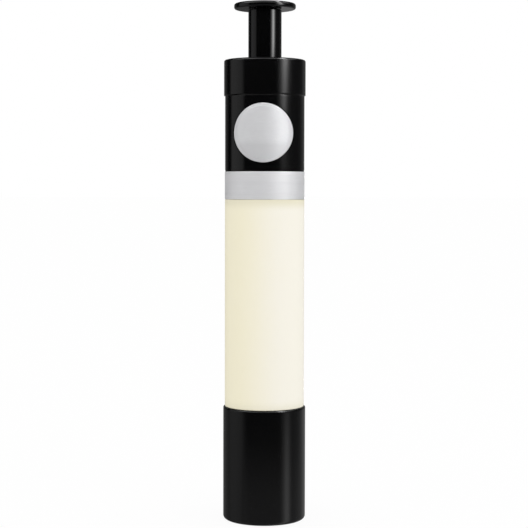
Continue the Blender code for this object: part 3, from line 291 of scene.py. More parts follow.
class Tree:
    """The node tree of a material, a lamp or the world."""

    def __init__(self, owner):
        owner.use_nodes = True
        self.nodes = owner.node_tree.nodes
        self.links = owner.node_tree.links

    def feed(self, socket, value):
        if isinstance(value, Value):
            self.links.new(value.socket, socket)
        else:
            socket.default_value = value

    def node(self, kind, settings=None, sockets=None, output=0):
        """A node of any type. Its settings come first, then the values or links of its sockets."""
        made = self.nodes.new(kind)
        for name, setting in (settings or {}).items():
            if name == "stops":
                self.set_stops(made.color_ramp, setting)
            else:
                setattr(made, name, setting)
        for name, value in (sockets or {}).items():
            self.feed(made.inputs[name], value)
        return Value(self, made.outputs[output])

    def set_stops(self, ramp, stops):
        """The stops of a grey ramp, as pairs of a place and a level."""
        while len(ramp.elements) < len(stops):
            ramp.elements.new(0.5)
        for element, (place, level) in zip(ramp.elements, stops):
            element.position = place
            element.color = (level, level, level, 1.0)

    def place(self):
        """The place on the piece, in metres."""
        return self.node("ShaderNodeTexCoord", output="Object")

    def axis(self, index):
        """One coordinate of the place on the piece, in metres."""
        return self.node("ShaderNodeSeparateXYZ", None, {"Vector": self.place()}, output=index)

    def mapped(self, turn, scale):
        """The place on the piece, turned and stretched."""
        sockets = {"Vector": self.place(), "Rotation": turn, "Scale": scale}
        return self.node("ShaderNodeMapping", None, sockets)

    def along(self, share):
        """The place with its heights shortened to a share, which draws noise out along the pen."""
        return self.mapped((0, 0, 0), (1.0, 1.0, share))

    def noise(self, vector, size, detail=2.0):
        """Noise from 0 to 1 whose spots are about the given size."""
        sockets = {"Vector": vector, "Scale": 1.0 / size, "Detail": detail}
        return self.node("ShaderNodeTexNoise", None, sockets)

    def smooth_range(self, value, start, end, first, last):
        """Goes smoothly from the first level to the last as the value goes from start to end."""
        sockets = {"Value": value, "From Min": start, "From Max": end, "To Min": first, "To Max": last}
        return self.node("ShaderNodeMapRange", {"interpolation_type": "SMOOTHSTEP"}, sockets)

    def blend(self, factor, first, second):
        """A colour between two colours."""
        sockets = {0: factor, 6: first, 7: second}
        return self.node("ShaderNodeMix", {"data_type": "RGBA"}, sockets, output=2)

    def bump(self, height, depth):
        """A bump whose full height is the given depth in metres."""
        return self.node("ShaderNodeBump", None, {"Height": height, "Distance": depth, "Strength": 1.0})


def colour4(colour, level=1.0):
    return (*(channel * level for channel in colour), 1.0)


class Finish(Tree):
    """A material of a piece, with the shader's values that are the same all over."""

    def __init__(self, colour, sockets):
        self.material = bpy.data.materials.new("finish")
        self.material.diffuse_color = colour4(colour)
        super().__init__(self.material)
        self.fill({"Base Color": colour4(colour), **sockets})

    def fill(self, sockets):
        for socket, value in sockets.items():
            self.feed(self.nodes["Principled BSDF"].inputs[socket], value)

    def varied(self, colour, roughness, normal):
        """The material, once it has what changes over the surface."""
        self.fill({"Base Color": colour, "Roughness": roughness, "Normal": normal})
        return self.material


def moulded_plastic(colour, roughness, spread=0.15):
    """Moulded plastic: a fine skin, slow flow marks along the pen and a gloss that wanders a little."""
    tree = Finish(colour, {"IOR": 1.5})
    skin = tree.noise(tree.place(), 0.14 * MM, 3.0)
    flow = tree.noise(tree.along(0.25), 2.2 * MM, 3.0)
    clouds = tree.noise(tree.place(), 7.0 * MM)
    tone = tree.blend(clouds, colour4(colour, 0.9), colour4(colour, 1.1))
    uneven = (flow - 0.5) * spread + (clouds - 0.5) * spread
    return tree.varied(tone, roughness + uneven * roughness, tree.bump(skin, 0.0006 * MM))


def cream_plastic(warm, sheen_colour):
    """The barrel's cream lacquer with a soft skin. A painted sheen makes it paler and cooler towards +X,
    and painted shade makes it darker next to the cap's rim and next to the band.
    """
    # Painted sheen: between these places on X the cream turns into the paler, cooler sheen colour
    sheen_start, sheen_end = -6.1 * MM, 5.0 * MM
    # Painted shade: how far and how much the cream darkens next to the cap's rim and next to the band
    front_reach, cap_shade_depth = 2.2 * MM, 0.45
    rear_reach, band_shade_depth = 2.6 * MM, 1.0
    tree = Finish(warm, {"IOR": 1.46, "Specular IOR Level": 0.05})
    clouds = tree.noise(tree.place(), 5.0 * MM, 3.0)
    skin = tree.noise(tree.place(), 0.3 * MM, 3.0)
    flow = tree.noise(tree.along(0.12), 1.6 * MM, 2.0)
    sheen_share = tree.smooth_range(tree.axis(0), sheen_start, sheen_end, 0.0, 1.0)
    sheen_share = sheen_share + (clouds - 0.5) * 0.2 + (flow - 0.5) * 0.1
    # The cream with its painted sheen
    lacquer = tree.blend(sheen_share, colour4(warm), colour4(sheen_colour))
    height = tree.axis(2)
    # Painted shade next to the cap's rim (front) and next to the band
    front = tree.smooth_range(height - high_of("cap_shell"), 0.0, front_reach, cap_shade_depth, 0.0)
    band_shade = tree.smooth_range(low_of("trim_band") - height, 0.0, rear_reach, band_shade_depth, 0.0)
    tone = tree.blend(front + band_shade, lacquer, colour4(warm, 0.88))
    return tree.varied(tone, 0.45 + (clouds - 0.5) * 0.08, tree.bump(skin, 0.0006 * MM))


def silver_foil(colour, turn, stretch, foot_shade=0.0):
    """Satin silver with fine brushed lines. Painted shade, where given, darkens its tone towards the
    badge's foot.
    """
    tree = Finish(colour, {"Metallic": 0.48})
    lines = tree.noise(tree.mapped(turn, stretch), 0.09 * MM, 3.0)
    broad = tree.noise(tree.mapped(turn, stretch), 0.5 * MM, 2.0)
    clouds = tree.noise(tree.place(), 4.0 * MM, 3.0)
    share = (lines - 0.5) * 0.5 + (broad - 0.5) * 0.35 + (clouds - 0.5) * 0.4 + 0.5
    # Painted shade: darker towards the badge's foot
    if foot_shade:
        low, high = low_of("badge_plate"), middle_of("badge_plate") - 1.0 * MM
        share = share - tree.smooth_range(tree.axis(2), low, high, foot_shade, 0.0)
    tone = tree.blend(share, colour4(colour, 0.9), colour4(colour, 1.1))
    return tree.varied(tone, 0.52 + (broad - 0.5) * 0.12, tree.bump(lines, 0.0012 * MM))


def drawn_steel(colour):
    """Bright steel with drawing lines and faint stains."""
    tree = Finish(colour, {"Metallic": 1.0})
    lines = tree.noise(tree.along(0.05), 0.05 * MM, 3.0)
    stains = tree.noise(tree.place(), 1.8 * MM, 4.0)
    tone = tree.blend(stains, colour4(colour, 0.86), colour4(colour, 1.08))
    roughness = 0.24 + (lines - 0.5) * 0.2 + (stains - 0.5) * 0.1
    return tree.varied(tone, roughness, tree.bump(lines, 0.0008 * MM))


def soft_rubber(colour, roughness):
    """Rubber with a dull, slightly grainy skin."""
    tree = Finish(colour, {"IOR": 1.45})
    grain = tree.noise(tree.place(), 0.08 * MM, 4.0)
    bloom = tree.noise(tree.place(), 1.2 * MM, 3.0)
    tone = tree.blend(bloom, colour4(colour, 0.85), colour4(colour, 1.3))
    return tree.varied(tone, roughness + (bloom - 0.5) * 0.15, tree.bump(grain, 0.002 * MM))


def bristle_fibre(colour):
    """Nylon strands, each with its own tone, a little uneven along its length."""
    tree = Finish(colour, {"IOR": 1.53})
    strands = tree.noise(tree.along(0.02), 0.12 * MM, 2.0)
    uneven = tree.noise(tree.place(), 0.6 * MM, 2.0)
    share = (strands - 0.5) * 1.6 + (uneven - 0.5) * 0.3 + 0.5
    tone = tree.blend(share, colour4(colour, 0.72), colour4(colour, 1.15))
    return tree.varied(tone, 0.38 + (strands - 0.5) * 0.2, tree.bump(uneven, 0.001 * MM))


def badge_foil(colour):
    """The band's silver, a little deeper and brushed aslant, with painted shade that darkens it towards
    the badge's foot.
    """
    aslant = (0, math.radians(-35), 0)
    # Painted shade towards the badge's foot, at this strength
    return silver_foil([0.94 * level for level in colour], aslant, (0.04, 1.0, 1.0), foot_shade=2.2)


FINISHES = {
    "black_satin": lambda tone: moulded_plastic(tone.black, tone.satin),
    "black_gloss": lambda tone: moulded_plastic(tone.black, tone.gloss, spread=0.1),
    "black_polish": lambda tone: moulded_plastic(tone.black, tone.polish, spread=0.1),
    "cream_gloss": lambda tone: cream_plastic(tone.cream, tone.sheen_cream),
    "band_silver": lambda tone: silver_foil(tone.silver, (0, 0, 0), (0.03, 0.03, 1.0)),
    "badge_silver": lambda tone: badge_foil(tone.silver),
    "steel": lambda tone: drawn_steel(tone.steel),
    "white_plastic": lambda tone: moulded_plastic(tone.white, 0.42),
    "grey_plastic": lambda tone: moulded_plastic(tone.grey, 0.45),
    "black_rubber": lambda tone: soft_rubber(tone.rubber, 0.6),
    "clear_rubber": lambda tone: soft_rubber(tone.clear_rubber, 0.5),
    "bristle": lambda tone: bristle_fibre(tone.bristle),
}


def finish(name):
    """The material of that name, made once."""
    key = f"pen_{name}"
    if key not in bpy.data.materials:
        FINISHES[name](bpy.context.scene.pen_colours).name = key
    return bpy.data.materials[key]


# Mesh helpers


def add_object(name, data):
    made = bpy.data.objects.new(name, data)
    bpy.context.scene.collection.objects.link(made)
    return made


def mesh_from(name, shape):
    """A mesh whose faces point outwards. The bmesh is used up."""
    bmesh.ops.recalc_face_normals(shape, faces=shape.faces)
    mesh = bpy.data.meshes.new(name)
    shape.to_mesh(mesh)
    shape.free()
    return mesh


def put(name, shape, finish_name, body, *nodes):
    """A finished piece from a bmesh, its double points merged."""
    bmesh.ops.remove_doubles(shape, verts=shape.verts, dist=WELD)
    bmesh.ops.dissolve_degenerate(shape, edges=shape.edges, dist=WELD)
    return put_mesh(name, mesh_from(name, shape), finish_name, body, *nodes)


def put_mesh(name, mesh, finish_name, body, *nodes):
    """A finished piece. It rides on its body and stands for the CAD nodes that it replaces."""
    mesh.shade_smooth()
    mesh.set_sharp_from_angle(angle=SHARP_ANGLE)
    mesh.materials.clear()
    mesh.materials.append(finish(finish_name))
    piece = add_object(name, mesh)
    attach(piece, body)
    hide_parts(*nodes)
    return piece


def profile_wire(corners, closed, segments, longest=None):
    """A profile in the XZ plane as a wire. Each corner is a radius, a height and its rounding."""
    shape = bmesh.new()
    verts = [shape.verts.new((radius, 0, height)) for radius, height, _ in corners]
    for first, second in zip(verts, verts[1:]):
        shape.edges.new((first, second))
    if closed:
        shape.edges.new((verts[-1], verts[0]))
    for vert, (_, _, rounding) in zip(verts, corners):
        if rounding:
            bmesh.ops.bevel(
                shape,
                geom=[vert],
                offset=rounding,
                offset_type="OFFSET",
                segments=segments,
                profile=0.5,
                affect="VERTICES",
                material=-1,
            )
    for edge in list(shape.edges):
        length = edge.calc_length()
        if length > 4 * GUARD:
            start, end = edge.verts
            middle, _ = bmesh.utils.edge_split(edge, end, GUARD / length)
            rest = next(e for e in start.link_edges if e in (edge, middle))
            bmesh.utils.edge_split(rest, start, GUARD / rest.calc_length())
    if longest:
        for edge in list(shape.edges):
            cuts = int(edge.calc_length() / longest)
            if cuts:
                bmesh.ops.subdivide_edges(shape, edges=[edge], cuts=cuts)
    return shape


def turn(shape, steps):
    """Turns a wire profile round the pen's axis."""
    bmesh.ops.spin(
        shape,
        geom=shape.verts[:] + shape.edges[:],
        cent=(0, 0, 0),
        axis=(0, 0, 1),
        dvec=(0, 0, 0),
        angle=math.tau,
        steps=steps,
        use_merge=True,
        use_duplicate=False,
    )
    bmesh.ops.remove_doubles(shape, verts=shape.verts, dist=WELD)
    return shape


def turned(corners, closed=True, steps=144, segments=6, longest=None):
    """A bmesh turned from a profile."""
    return turn(profile_wire(corners, closed, segments, longest), steps)


def wire_section(shape, radius, wire, height, sides, cap_ends=False):
    """The round section of a wire that runs round the pen's axis. Returns its points."""
    place = Matrix.Translation((radius, 0, height)) @ Matrix.Rotation(RIGHT_ANGLE, 4, "X")
    made = bmesh.ops.create_circle(
        shape, cap_ends=cap_ends, segments=sides, radius=wire / 2, matrix=place
    )
    return made["verts"]


def wire_ring(radius, wire, height, steps=128, sides=20):
    """A bmesh of a ring of round section."""
    shape = bmesh.new()
    wire_section(shape, radius, wire, height, sides)
    return turn(shape, steps)


def carved(name, shape, tools):
    """The mesh of a piece after exact Booleans. The tools are pairs of an operation and a bmesh."""
    bmesh.ops.dissolve_degenerate(shape, edges=shape.edges, dist=WELD)
    base = add_object(name, mesh_from(name, shape))
    cutters = []
    for operation, tool in tools:
        cutter = add_object("cutter", mesh_from("cutter", tool))
        cutters.append(cutter)
        boolean = base.modifiers.new("cut", "BOOLEAN")
        boolean.operation = operation
        boolean.solver = "EXACT"
        boolean.object = cutter
    bpy.context.view_layer.update()
    graph = bpy.context.evaluated_depsgraph_get()
    mesh = bpy.data.meshes.new_from_object(base.evaluated_get(graph))
    for used in [base, *cutters]:
        data = used.data
        bpy.data.objects.remove(used)
        bpy.data.meshes.remove(data)
    mesh.name = name
    return mesh


def block(size, place):
    """A bmesh box, used only to cut or to join."""
    shape = bmesh.new()
    bmesh.ops.create_cube(shape, size=1.0)
    bmesh.ops.scale(shape, vec=size, verts=shape.verts)
    bmesh.ops.translate(shape, vec=place, verts=shape.verts)
    return shape


def rod(radius, depth, middle, axis, sides):
    """A bmesh rod along X or Y, used only to cut.

    It is turned half a facet, so that no corner of it meets a column of points of what it cuts.
    """
    shape = bmesh.new()
    half_facet = Matrix.Rotation(math.pi / sides, 4, "Z")
    bmesh.ops.create_cone(
        shape,
        cap_ends=True,
        segments=sides,
        radius1=radius,
        radius2=radius,
        depth=depth,
        matrix=Matrix.Translation(middle) @ Matrix.Rotation(RIGHT_ANGLE, 4, axis) @ half_facet,
    )
    return shape


def groove(radius, floor, height, width):
    """The four corners of a groove in a profile that runs downwards."""
    top = height + width / 2
    bottom = height - width / 2
    return [(radius, top, 0.05 * MM), (floor, top, 0), (floor, bottom, 0), (radius, bottom, 0.05 * MM)]


# Pieces


class PEN_OT_cap(bpy.types.Operator):
    """Builds the cap with its rounded end and rim"""

    bl_idname = "pen.cap"
    bl_label = "Cap"

    def execute(self, context):
        size = context.scene.pen_cap
        corners = [
            (0, size.end_thickness, 0),
            (size.bore, size.end_thickness, 0.4 * MM),
            (size.bore, size.height, 0.1 * MM),
            (size.radius, size.height, size.rim_round),
            (size.radius, 0, size.end_round),
            (0, 0, 0),
        ]
        shape = turned(corners, closed=False, steps=FINE_STEPS, segments=8)
        put("cap", shape, "black_satin", "cap", "cap_shell")
        return {"FINISHED"}


class PEN_OT_inner_cap(bpy.types.Operator):
    """Builds the inner cap that keeps the brush from drying"""

    bl_idname = "pen.inner_cap"
    bl_label = "Inner cap"

    def execute(self, context):
        size = context.scene.pen_cap
        outer = radius_of("cap_liner")
        inner = outer - size.liner_wall
        bottom = low_of("cap_liner")
        top = high_of("cap_liner")
        corners = [
            (0, bottom + size.liner_floor, 0),
            (inner, bottom + size.liner_floor, 0.3 * MM),
            (inner, top, 0.2 * MM),
            (outer, top, 0.15 * MM),
            (outer, bottom, 0.3 * MM),
            (0, bottom, 0),
        ]
        put("inner_cap", turned(corners, closed=False), "white_plastic", "cap", "cap_liner")
        return {"FINISHED"}


class PEN_OT_barrel(bpy.types.Operator):
    """Builds the cream barrel with its spigots, its neck and its reservoir"""

    bl_idname = "pen.barrel"
    bl_label = "Barrel"

    def execute(self, context):
        size = context.scene.pen_barrel
        top = high_of("barrel")
        end = low_of("barrel")
        front = high_of("cap_shell") + size.fine_seam
        shoulder = low_of("trim_band") - size.fine_seam
        ring_height = middle_of("cap_grip_ring")
        ring_floor = radius_of("cap_grip_ring") - 1.1 * MM
        ring_width = 1.4 * MM
        funnel = 1.0 * MM  # how far the reservoir's floor slopes down to the neck
        corners = [
            (size.seat, top, 0.1 * MM),
            (size.rear_spigot, top, 0.15 * MM),
            (size.rear_spigot, shoulder, 0),
            (size.radius, shoulder, size.edge_round),
            (size.radius, front, size.edge_round),
            (size.front_spigot, front, 0),
            *groove(size.front_spigot, ring_floor, ring_height, ring_width),
            (size.front_spigot, end, 0.2 * MM),
            (size.neck, end, 0.1 * MM),
            (size.neck, size.floor, 0),
            (size.reservoir, size.floor + funnel, 0.3 * MM),
            (size.reservoir, size.ledge, 0),
            (size.seat, size.ledge, 0),
        ]
        put("barrel_tube", turned(corners, steps=FINE_STEPS), "cream_gloss", "barrel_body", "barrel")
        return {"FINISHED"}


class PEN_OT_band(bpy.types.Operator):
    """Builds the silver band with its rolled upper lip"""

    bl_idname = "pen.band"
    bl_label = "Silver band"

    def execute(self, context):
        size = context.scene.pen_barrel
        radius = radius_of("trim_band")
        bore = size.rear_spigot + SEAM
        bottom = low_of("trim_band")
        top = high_of("trim_band")
        line = top - 0.5 * MM
        half_line = 0.06 * MM
        corners = [
            (bore, top, 0),
            (radius, top, size.band_round),
            (radius, line + half_line, 0),
            (radius - size.band_line, line, 0),
            (radius, line - half_line, 0),
            (radius, bottom, size.band_round / 2),
            (bore, bottom, 0),
        ]
        put("band", turned(corners, steps=FINE_STEPS), "band_silver", "barrel_body", "trim_band")
        return {"FINISHED"}


class PEN_OT_housing(bpy.types.Operator):
    """Builds the black housing with the round recess for the badge"""

    bl_idname = "pen.housing"
    bl_label = "Housing"

    def execute(self, context):
        size = context.scene.pen_barrel
        radius = radius_of("rear_housing")
        bottom = low_of("rear_housing") + size.lip
        lip_end = high_of("trim_band") + size.fine_seam
        top = high_of("rear_housing")
        corners = [
            (size.seat, top, 0),
            (radius, top, size.edge_round),
            (radius, bottom, size.lip_step / 2),
            (radius - size.lip_step, bottom, 0),
            (radius - size.lip_step, lip_end, 0),
            (size.seat, lip_end, 0),
        ]
        back = radius - BADGE_THICKNESS - PLAY
        hollow = [
            (back, top + PLAY, 0),
            (radius + PLAY, top + PLAY, 0),
            (radius + PLAY, bottom - PLAY, 0),
            (back, bottom - PLAY, 0),
        ]
        badge = half_height_of("badge_plate") + SEAM
        disc = rod(badge, radius, (0, -radius, middle_of("badge_plate")), "X", sides=128)
        recess = carved("recess", turned(hollow, steps=FINE_STEPS), [("INTERSECT", disc)])
        tool = bmesh.new()
        tool.from_mesh(recess)
        bpy.data.meshes.remove(recess)
        mesh = carved("housing", turned(corners, steps=FINE_STEPS), [("DIFFERENCE", tool)])
        put_mesh("housing", mesh, "black_gloss", "barrel_body", "rear_housing")
        return {"FINISHED"}


class PEN_OT_badge(bpy.types.Operator):
    """Builds the round silver badge, bent to the housing, with a fine ring inside its rim"""

    bl_idname = "pen.badge"
    bl_label = "Badge"

    def execute(self, context):
        size = context.scene.pen_barrel
        radius = radius_of("rear_housing")
        disc_radius = half_height_of("badge_plate")
        middle = middle_of("badge_plate")
        ring = disc_radius - 0.5 * MM
        half_line = 0.08 * MM
        corners = [
            (0, 0, 0),
            (ring - half_line, 0, 0),
            (ring, -size.badge_line, 0),
            (ring + half_line, 0, 0),
            (disc_radius, 0, size.badge_round),
            (disc_radius, -BADGE_THICKNESS, 0),
            (0, -BADGE_THICKNESS, 0),
        ]
        shape = turned(corners, closed=False, steps=160, longest=0.3 * MM)
        for vert in shape.verts:
            depth = vert.co.z
            across = vert.co.x
            bent = math.sqrt((radius + depth) ** 2 - across**2)
            vert.co = (across, -bent, middle + vert.co.y)
        put("badge", shape, "badge_silver", "barrel_body", "badge_plate")
        return {"FINISHED"}


class PEN_OT_collar(bpy.types.Operator):
    """Builds the end collar with its rounded upper edge and the key inside it"""

    bl_idname = "pen.collar"
    bl_label = "End collar"

    def execute(self, context):
        size = context.scene.pen_press
        radius = radius_of("end_collar")
        top = high_of("end_collar")
        spigot_end = low_of("end_collar")
        base = high_of("rear_housing") + SEAM
        bush_base = low_of("guide_bush")
        bush = radius_of("guide_bush") + PLAY
        roof = high_of("guide_bush") + SEAM
        corners = [
            (size.hole, top, 0.12 * MM),
            (radius, top, size.collar_round),
            (radius, base, 0.08 * MM),
            (size.collar_spigot, base, 0),
            (size.collar_spigot, spigot_end, 0.12 * MM),
            (size.collar_bore, spigot_end, 0),
            (size.collar_bore, bush_base, 0),
            (bush, bush_base, 0),
            (bush, roof, 0),
            (size.hole, roof, 0),
        ]
        depth = 0.95 * MM
        width = 1.2 * MM
        tip = size.collar_bore - 0.65 * MM
        middle = (bush_base + spigot_end) / 2
        key = block((depth, width, bush_base - spigot_end), (tip + depth / 2, 0, middle))
        mesh = carved("collar", turned(corners, steps=FINE_STEPS, segments=8), [("UNION", key)])
        put_mesh("collar", mesh, "black_gloss", "barrel_body", "end_collar")
        return {"FINISHED"}


class PEN_OT_stem(bpy.types.Operator):
    """Builds the stem with its stop, its keyway and its pinned skirt"""

    bl_idname = "pen.stem"
    bl_label = "Stem"

    def execute(self, context):
        size = context.scene.pen_press
        top = high_of("plunger_stem")
        skirt_end = low_of("plunger_stem")
        stop = radius_of("plunger_stem")
        stop_top = low_of("guide_bush") - PLAY
        stop_base = stop_top - 1.8 * MM
        roof = stop_top - 0.8 * MM  # of the skirt's bore, inside the stop
        corners = [
            (size.stem_bore, top, 0.08 * MM),
            (size.stem, top, 0.12 * MM),
            (size.stem, stop_top, 0),
            (stop, stop_top, 0.15 * MM),
            (stop, stop_base, 0.1 * MM),
            (size.skirt, stop_base, 0),
            (size.skirt, skirt_end, 0.12 * MM),
            (size.skirt_bore, skirt_end, 0),
            (size.skirt_bore, roof, 0),
            (size.stem_bore, roof, 0),
        ]
        depth = 1.3 * MM
        width = 1.8 * MM
        height = 3.8 * MM
        beyond = 1.0 * MM  # how far the cutting block reaches past the stop
        middle = (stop + beyond - depth / 2, 0, (stop_top + stop_base) / 2)
        keyway = block((depth, width, height), middle)
        pin = half_height_of("drive_pin_right") + SEAM
        hole = rod(pin, 2 * size.skirt + 2 * MM, (0, 0, middle_of("drive_pin_right")), "Y", sides=32)
        mesh = carved("stem", turned(corners), [("DIFFERENCE", keyway), ("DIFFERENCE", hole)])
        put_mesh("stem", mesh, "black_polish", "plunger", "plunger_stem")
        return {"FINISHED"}


class PEN_OT_disc(bpy.types.Operator):
    """Builds the thumb disc with its rounded rim"""

    bl_idname = "pen.disc"
    bl_label = "Thumb disc"

    def execute(self, context):
        size = context.scene.pen_press
        radius = radius_of("thumb_button")
        top = high_of("thumb_button")
        bottom = top - size.disc_thickness
        plug = size.stem_bore - PLAY
        plug_end = low_of("thumb_button")
        corners = [
            (0, top, 0),
            (radius, top, size.disc_round),
            (radius, bottom, size.disc_lower_round),
            (plug, bottom, 0),
            (plug, plug_end, 0.3 * MM),
            (0, plug_end, 0),
        ]
        shape = turned(corners, closed=False, steps=160, segments=10)
        put("thumb_disc", shape, "black_polish", "plunger", "thumb_button")
        return {"FINISHED"}


class PEN_OT_spring(bpy.types.Operator):
    """Winds the return spring, with its end coils closer together"""

    bl_idname = "pen.spring"
    bl_label = "Return spring"

    def execute(self, context):
        size = context.scene.pen_press
        foot = low_of("return_spring")
        head = high_of("return_spring")
        length = head - foot
        bottom = foot + size.wire / 2
        top = head - size.wire / 2
        end_pitch = 1.3 * MM
        free = size.coils - 2
        free_pitch = (top - bottom - 2 * end_pitch) / free
        shape = bmesh.new()
        section = wire_section(shape, size.spring, size.wire, bottom, sides=14, cap_ends=True)
        front = section + list(dict.fromkeys(edge for vert in section for edge in vert.link_edges))
        steps = 48
        for coils, pitch in ((1, end_pitch), (free, free_pitch), (1, end_pitch)):
            made = bmesh.ops.spin(
                shape,
                geom=front,
                cent=(0, 0, 0),
                axis=(0, 0, 1),
                dvec=(0, 0, pitch / steps),
                angle=math.tau * coils,
                steps=steps * coils,
                use_merge=False,
                use_duplicate=False,
            )
            front = made["geom_last"]
        last_ring = [item for item in front if isinstance(item, bmesh.types.BMEdge)]
        bmesh.ops.edgeloop_fill(shape, edges=last_ring)
        coil = put("return_coil", shape, "steel", "barrel_body", "return_spring")
        press = next(joint for joint in frame["joints"] if joint["name"] == "plunger_press")
        keep = (length - press["range_m"][1]) / length
        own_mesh(coil)
        return {"FINISHED"}


class PEN_OT_nozzle(bpy.types.Operator):
    """Builds the nozzle and the ferrule that holds the brush"""

    bl_idname = "pen.nozzle"
    bl_label = "Nozzle and ferrule"

    def execute(self, context):
        size = context.scene.pen_brush
        top = high_of("nozzle")
        tip = low_of("nozzle")
        flange = radius_of("nozzle")
        flange_top = low_of("barrel") - PLAY
        flange_base = flange_top - 1.4 * MM
        seal = middle_of("nozzle_seal")
        stop = high_of("brush_ferrule") + PLAY
        seat = top - 2.5 * MM
        seal_floor = 4.25 * MM
        seal_width = 1.3 * MM
        corners = [
            (size.valve_seat, top, 0),
            (size.plug, top, 0.2 * MM),
            *groove(size.plug, seal_floor, seal, seal_width),
            (size.plug, flange_top, 0),
            (flange, flange_top, 0.12 * MM),
            (flange, flange_base, 0.25 * MM),
            (size.cone, flange_base, 0.2 * MM),
            (size.tip, tip, 0.35 * MM),
            (size.nozzle_bore, tip, 0.1 * MM),
            (size.nozzle_bore, stop, 0),
            (size.valve_bore, stop, 0),
            (size.valve_bore, seat, 0),
            (size.valve_seat, seat, 0),
        ]
        put("nozzle_body", turned(corners), "grey_plastic", "barrel_body", "nozzle")
        radius = radius_of("brush_ferrule")
        high = high_of("brush_ferrule")
        low = low_of("brush_ferrule")
        crimp = low + 1.7 * MM
        half_crimp = 0.4 * MM
        crimp_depth = 0.12 * MM
        tube = [
            (size.ferrule_bore, high, 0),
            (radius, high, 0.08 * MM),
            (radius, crimp + half_crimp, 0.12 * MM),
            (radius - crimp_depth, crimp, 0.12 * MM),
            (radius, crimp - half_crimp, 0.12 * MM),
            (radius, low, 0.08 * MM),
            (size.ferrule_bore, low, 0.05 * MM),
        ]
        put("ferrule", turned(tube, steps=96), "steel", "barrel_body", "brush_ferrule")
        return {"FINISHED"}


class PEN_OT_bristles(bpy.types.Operator):
    """Builds the brush: tapered strands, a little curved, on a round backing"""

    bl_idname = "pen.bristles"
    bl_label = "Bristles"

    def execute(self, context):
        size = context.scene.pen_brush
        outer = radius_of("brush_bristles")
        inner = 0.8 * MM
        top = high_of("brush_bristles")
        root = top - 1.0 * MM
        tip = low_of("brush_bristles")
        pitch = 0.172 * MM  # from strand to strand in a row
        taper = 0.55  # how much of its width a strand loses up to its tip
        rows, sides, levels = 6, 5, 5
        backing = [(inner, top, 0), (outer, top, 0), (outer, root, 0), (inner, root, 0)]
        shape = turned(backing, steps=64)
        offsets = {}  # the middle of each point's strand at its root, and the point's offset from it
        for row in range(rows):
            radius = inner + size.strand + (outer - inner - 2 * size.strand) * row / (rows - 1)
            count = int(math.tau * radius / pitch)
            for index in range(count):
                angle = math.tau * (index + 0.5 * (row % 2)) / count
                middle = Vector((radius * math.cos(angle), radius * math.sin(angle)))
                place = Matrix.Translation((middle.x, middle.y, root))
                ring = bmesh.ops.create_circle(
                    shape, cap_ends=True, segments=sides, radius=size.strand, matrix=place
                )
                for vert in ring["verts"]:
                    offsets[vert] = (middle, vert.co.xy - middle)
        edges = list(dict.fromkeys(edge for vert in offsets for edge in vert.link_edges))
        for level in range(1, levels + 1):
            made = bmesh.ops.extrude_edge_only(shape, edges=edges)["geom"]
            edges = [item for item in made if isinstance(item, bmesh.types.BMEdge)]
            share = level / levels
            width = 1 - (1 - size.tip_width) * share**2
            depth = 1 - (1 - size.tip_depth) * share**2
            thin = 1 - taper * share**3
            carried = {}
            for vert in made:
                if not isinstance(vert, bmesh.types.BMVert):
                    continue
                near = (edge.other_vert(vert) for edge in vert.link_edges)
                source = next(other for other in near if other in offsets)
                middle, own = carried[vert] = offsets[source]
                end = tip + size.dome * (middle.length / outer) ** 2
                place = middle + own * thin
                vert.co = (place.x * width, place.y * depth, root + (end - root) * share)
            offsets = carried
        bmesh.ops.edgeloop_fill(shape, edges=edges)
        put("bristle_tuft", shape, "bristle", "barrel_body", "brush_bristles")
        return {"FINISHED"}


class PEN_OT_rings(bpy.types.Operator):
    """Builds the rubber rings of the cap, the nozzle and the piston"""

    bl_idname = "pen.rings"
    bl_label = "Rubber rings"

    def execute(self, context):
        rings = (
            ("grip_ring", "cap_grip_ring", 0.8 * MM, "barrel_body"),
            ("seal_ring", "nozzle_seal", 0.7 * MM, "barrel_body"),
            ("front_ring", "piston_ring_front", 1.0 * MM, "follower"),
            ("rear_ring", "piston_ring_rear", 1.0 * MM, "follower"),
        )
        for name, node, wire, body in rings:
            shape = wire_ring(radius_of(node) - wire / 2, wire, middle_of(node))
            put(name, shape, "black_rubber", body, node)
        return {"FINISHED"}


INNER_FINISHES = {
    "guide_bush": "white_plastic",
    "flow_valve": "clear_rubber",
    "valve_retainer": "white_plastic",
    "feed_tube": "steel",
    "follower_piston": "white_plastic",
    "drive_screw": "white_plastic",
    "mechanism_sleeve": "grey_plastic",
    "drive_nut": "white_plastic",
    "spiral_rotor": "grey_plastic",
    "pawl_ring": "grey_plastic",
    "spring_seat": "steel",
    "drive_pin_right": "steel",
    "drive_pin_left": "steel",
}


class PEN_OT_drive(bpy.types.Operator):
    """Gives the pieces of the drive, which keep their CAD shapes, their finishes"""

    bl_idname = "pen.drive"
    bl_label = "Drive finishes"

    def execute(self, context):
        for node, name in INNER_FINISHES.items():
            for place in frame["nodes"][node].material_slots:
                place.material = finish(name)
        return {"FINISHED"}


# Studio


def seen_share(tree):
    """1 for what the camera, glossy and clear surfaces see, 0 for the light itself."""
    rays = tree.nodes.new("ShaderNodeLightPath").outputs
    camera = Value(tree, rays["Is Camera Ray"])
    glossy = Value(tree, rays["Is Glossy Ray"])
    clear = Value(tree, rays["Is Transmission Ray"])
    return camera.maths("MAXIMUM", camera.maths("MAXIMUM", camera, glossy), clear)


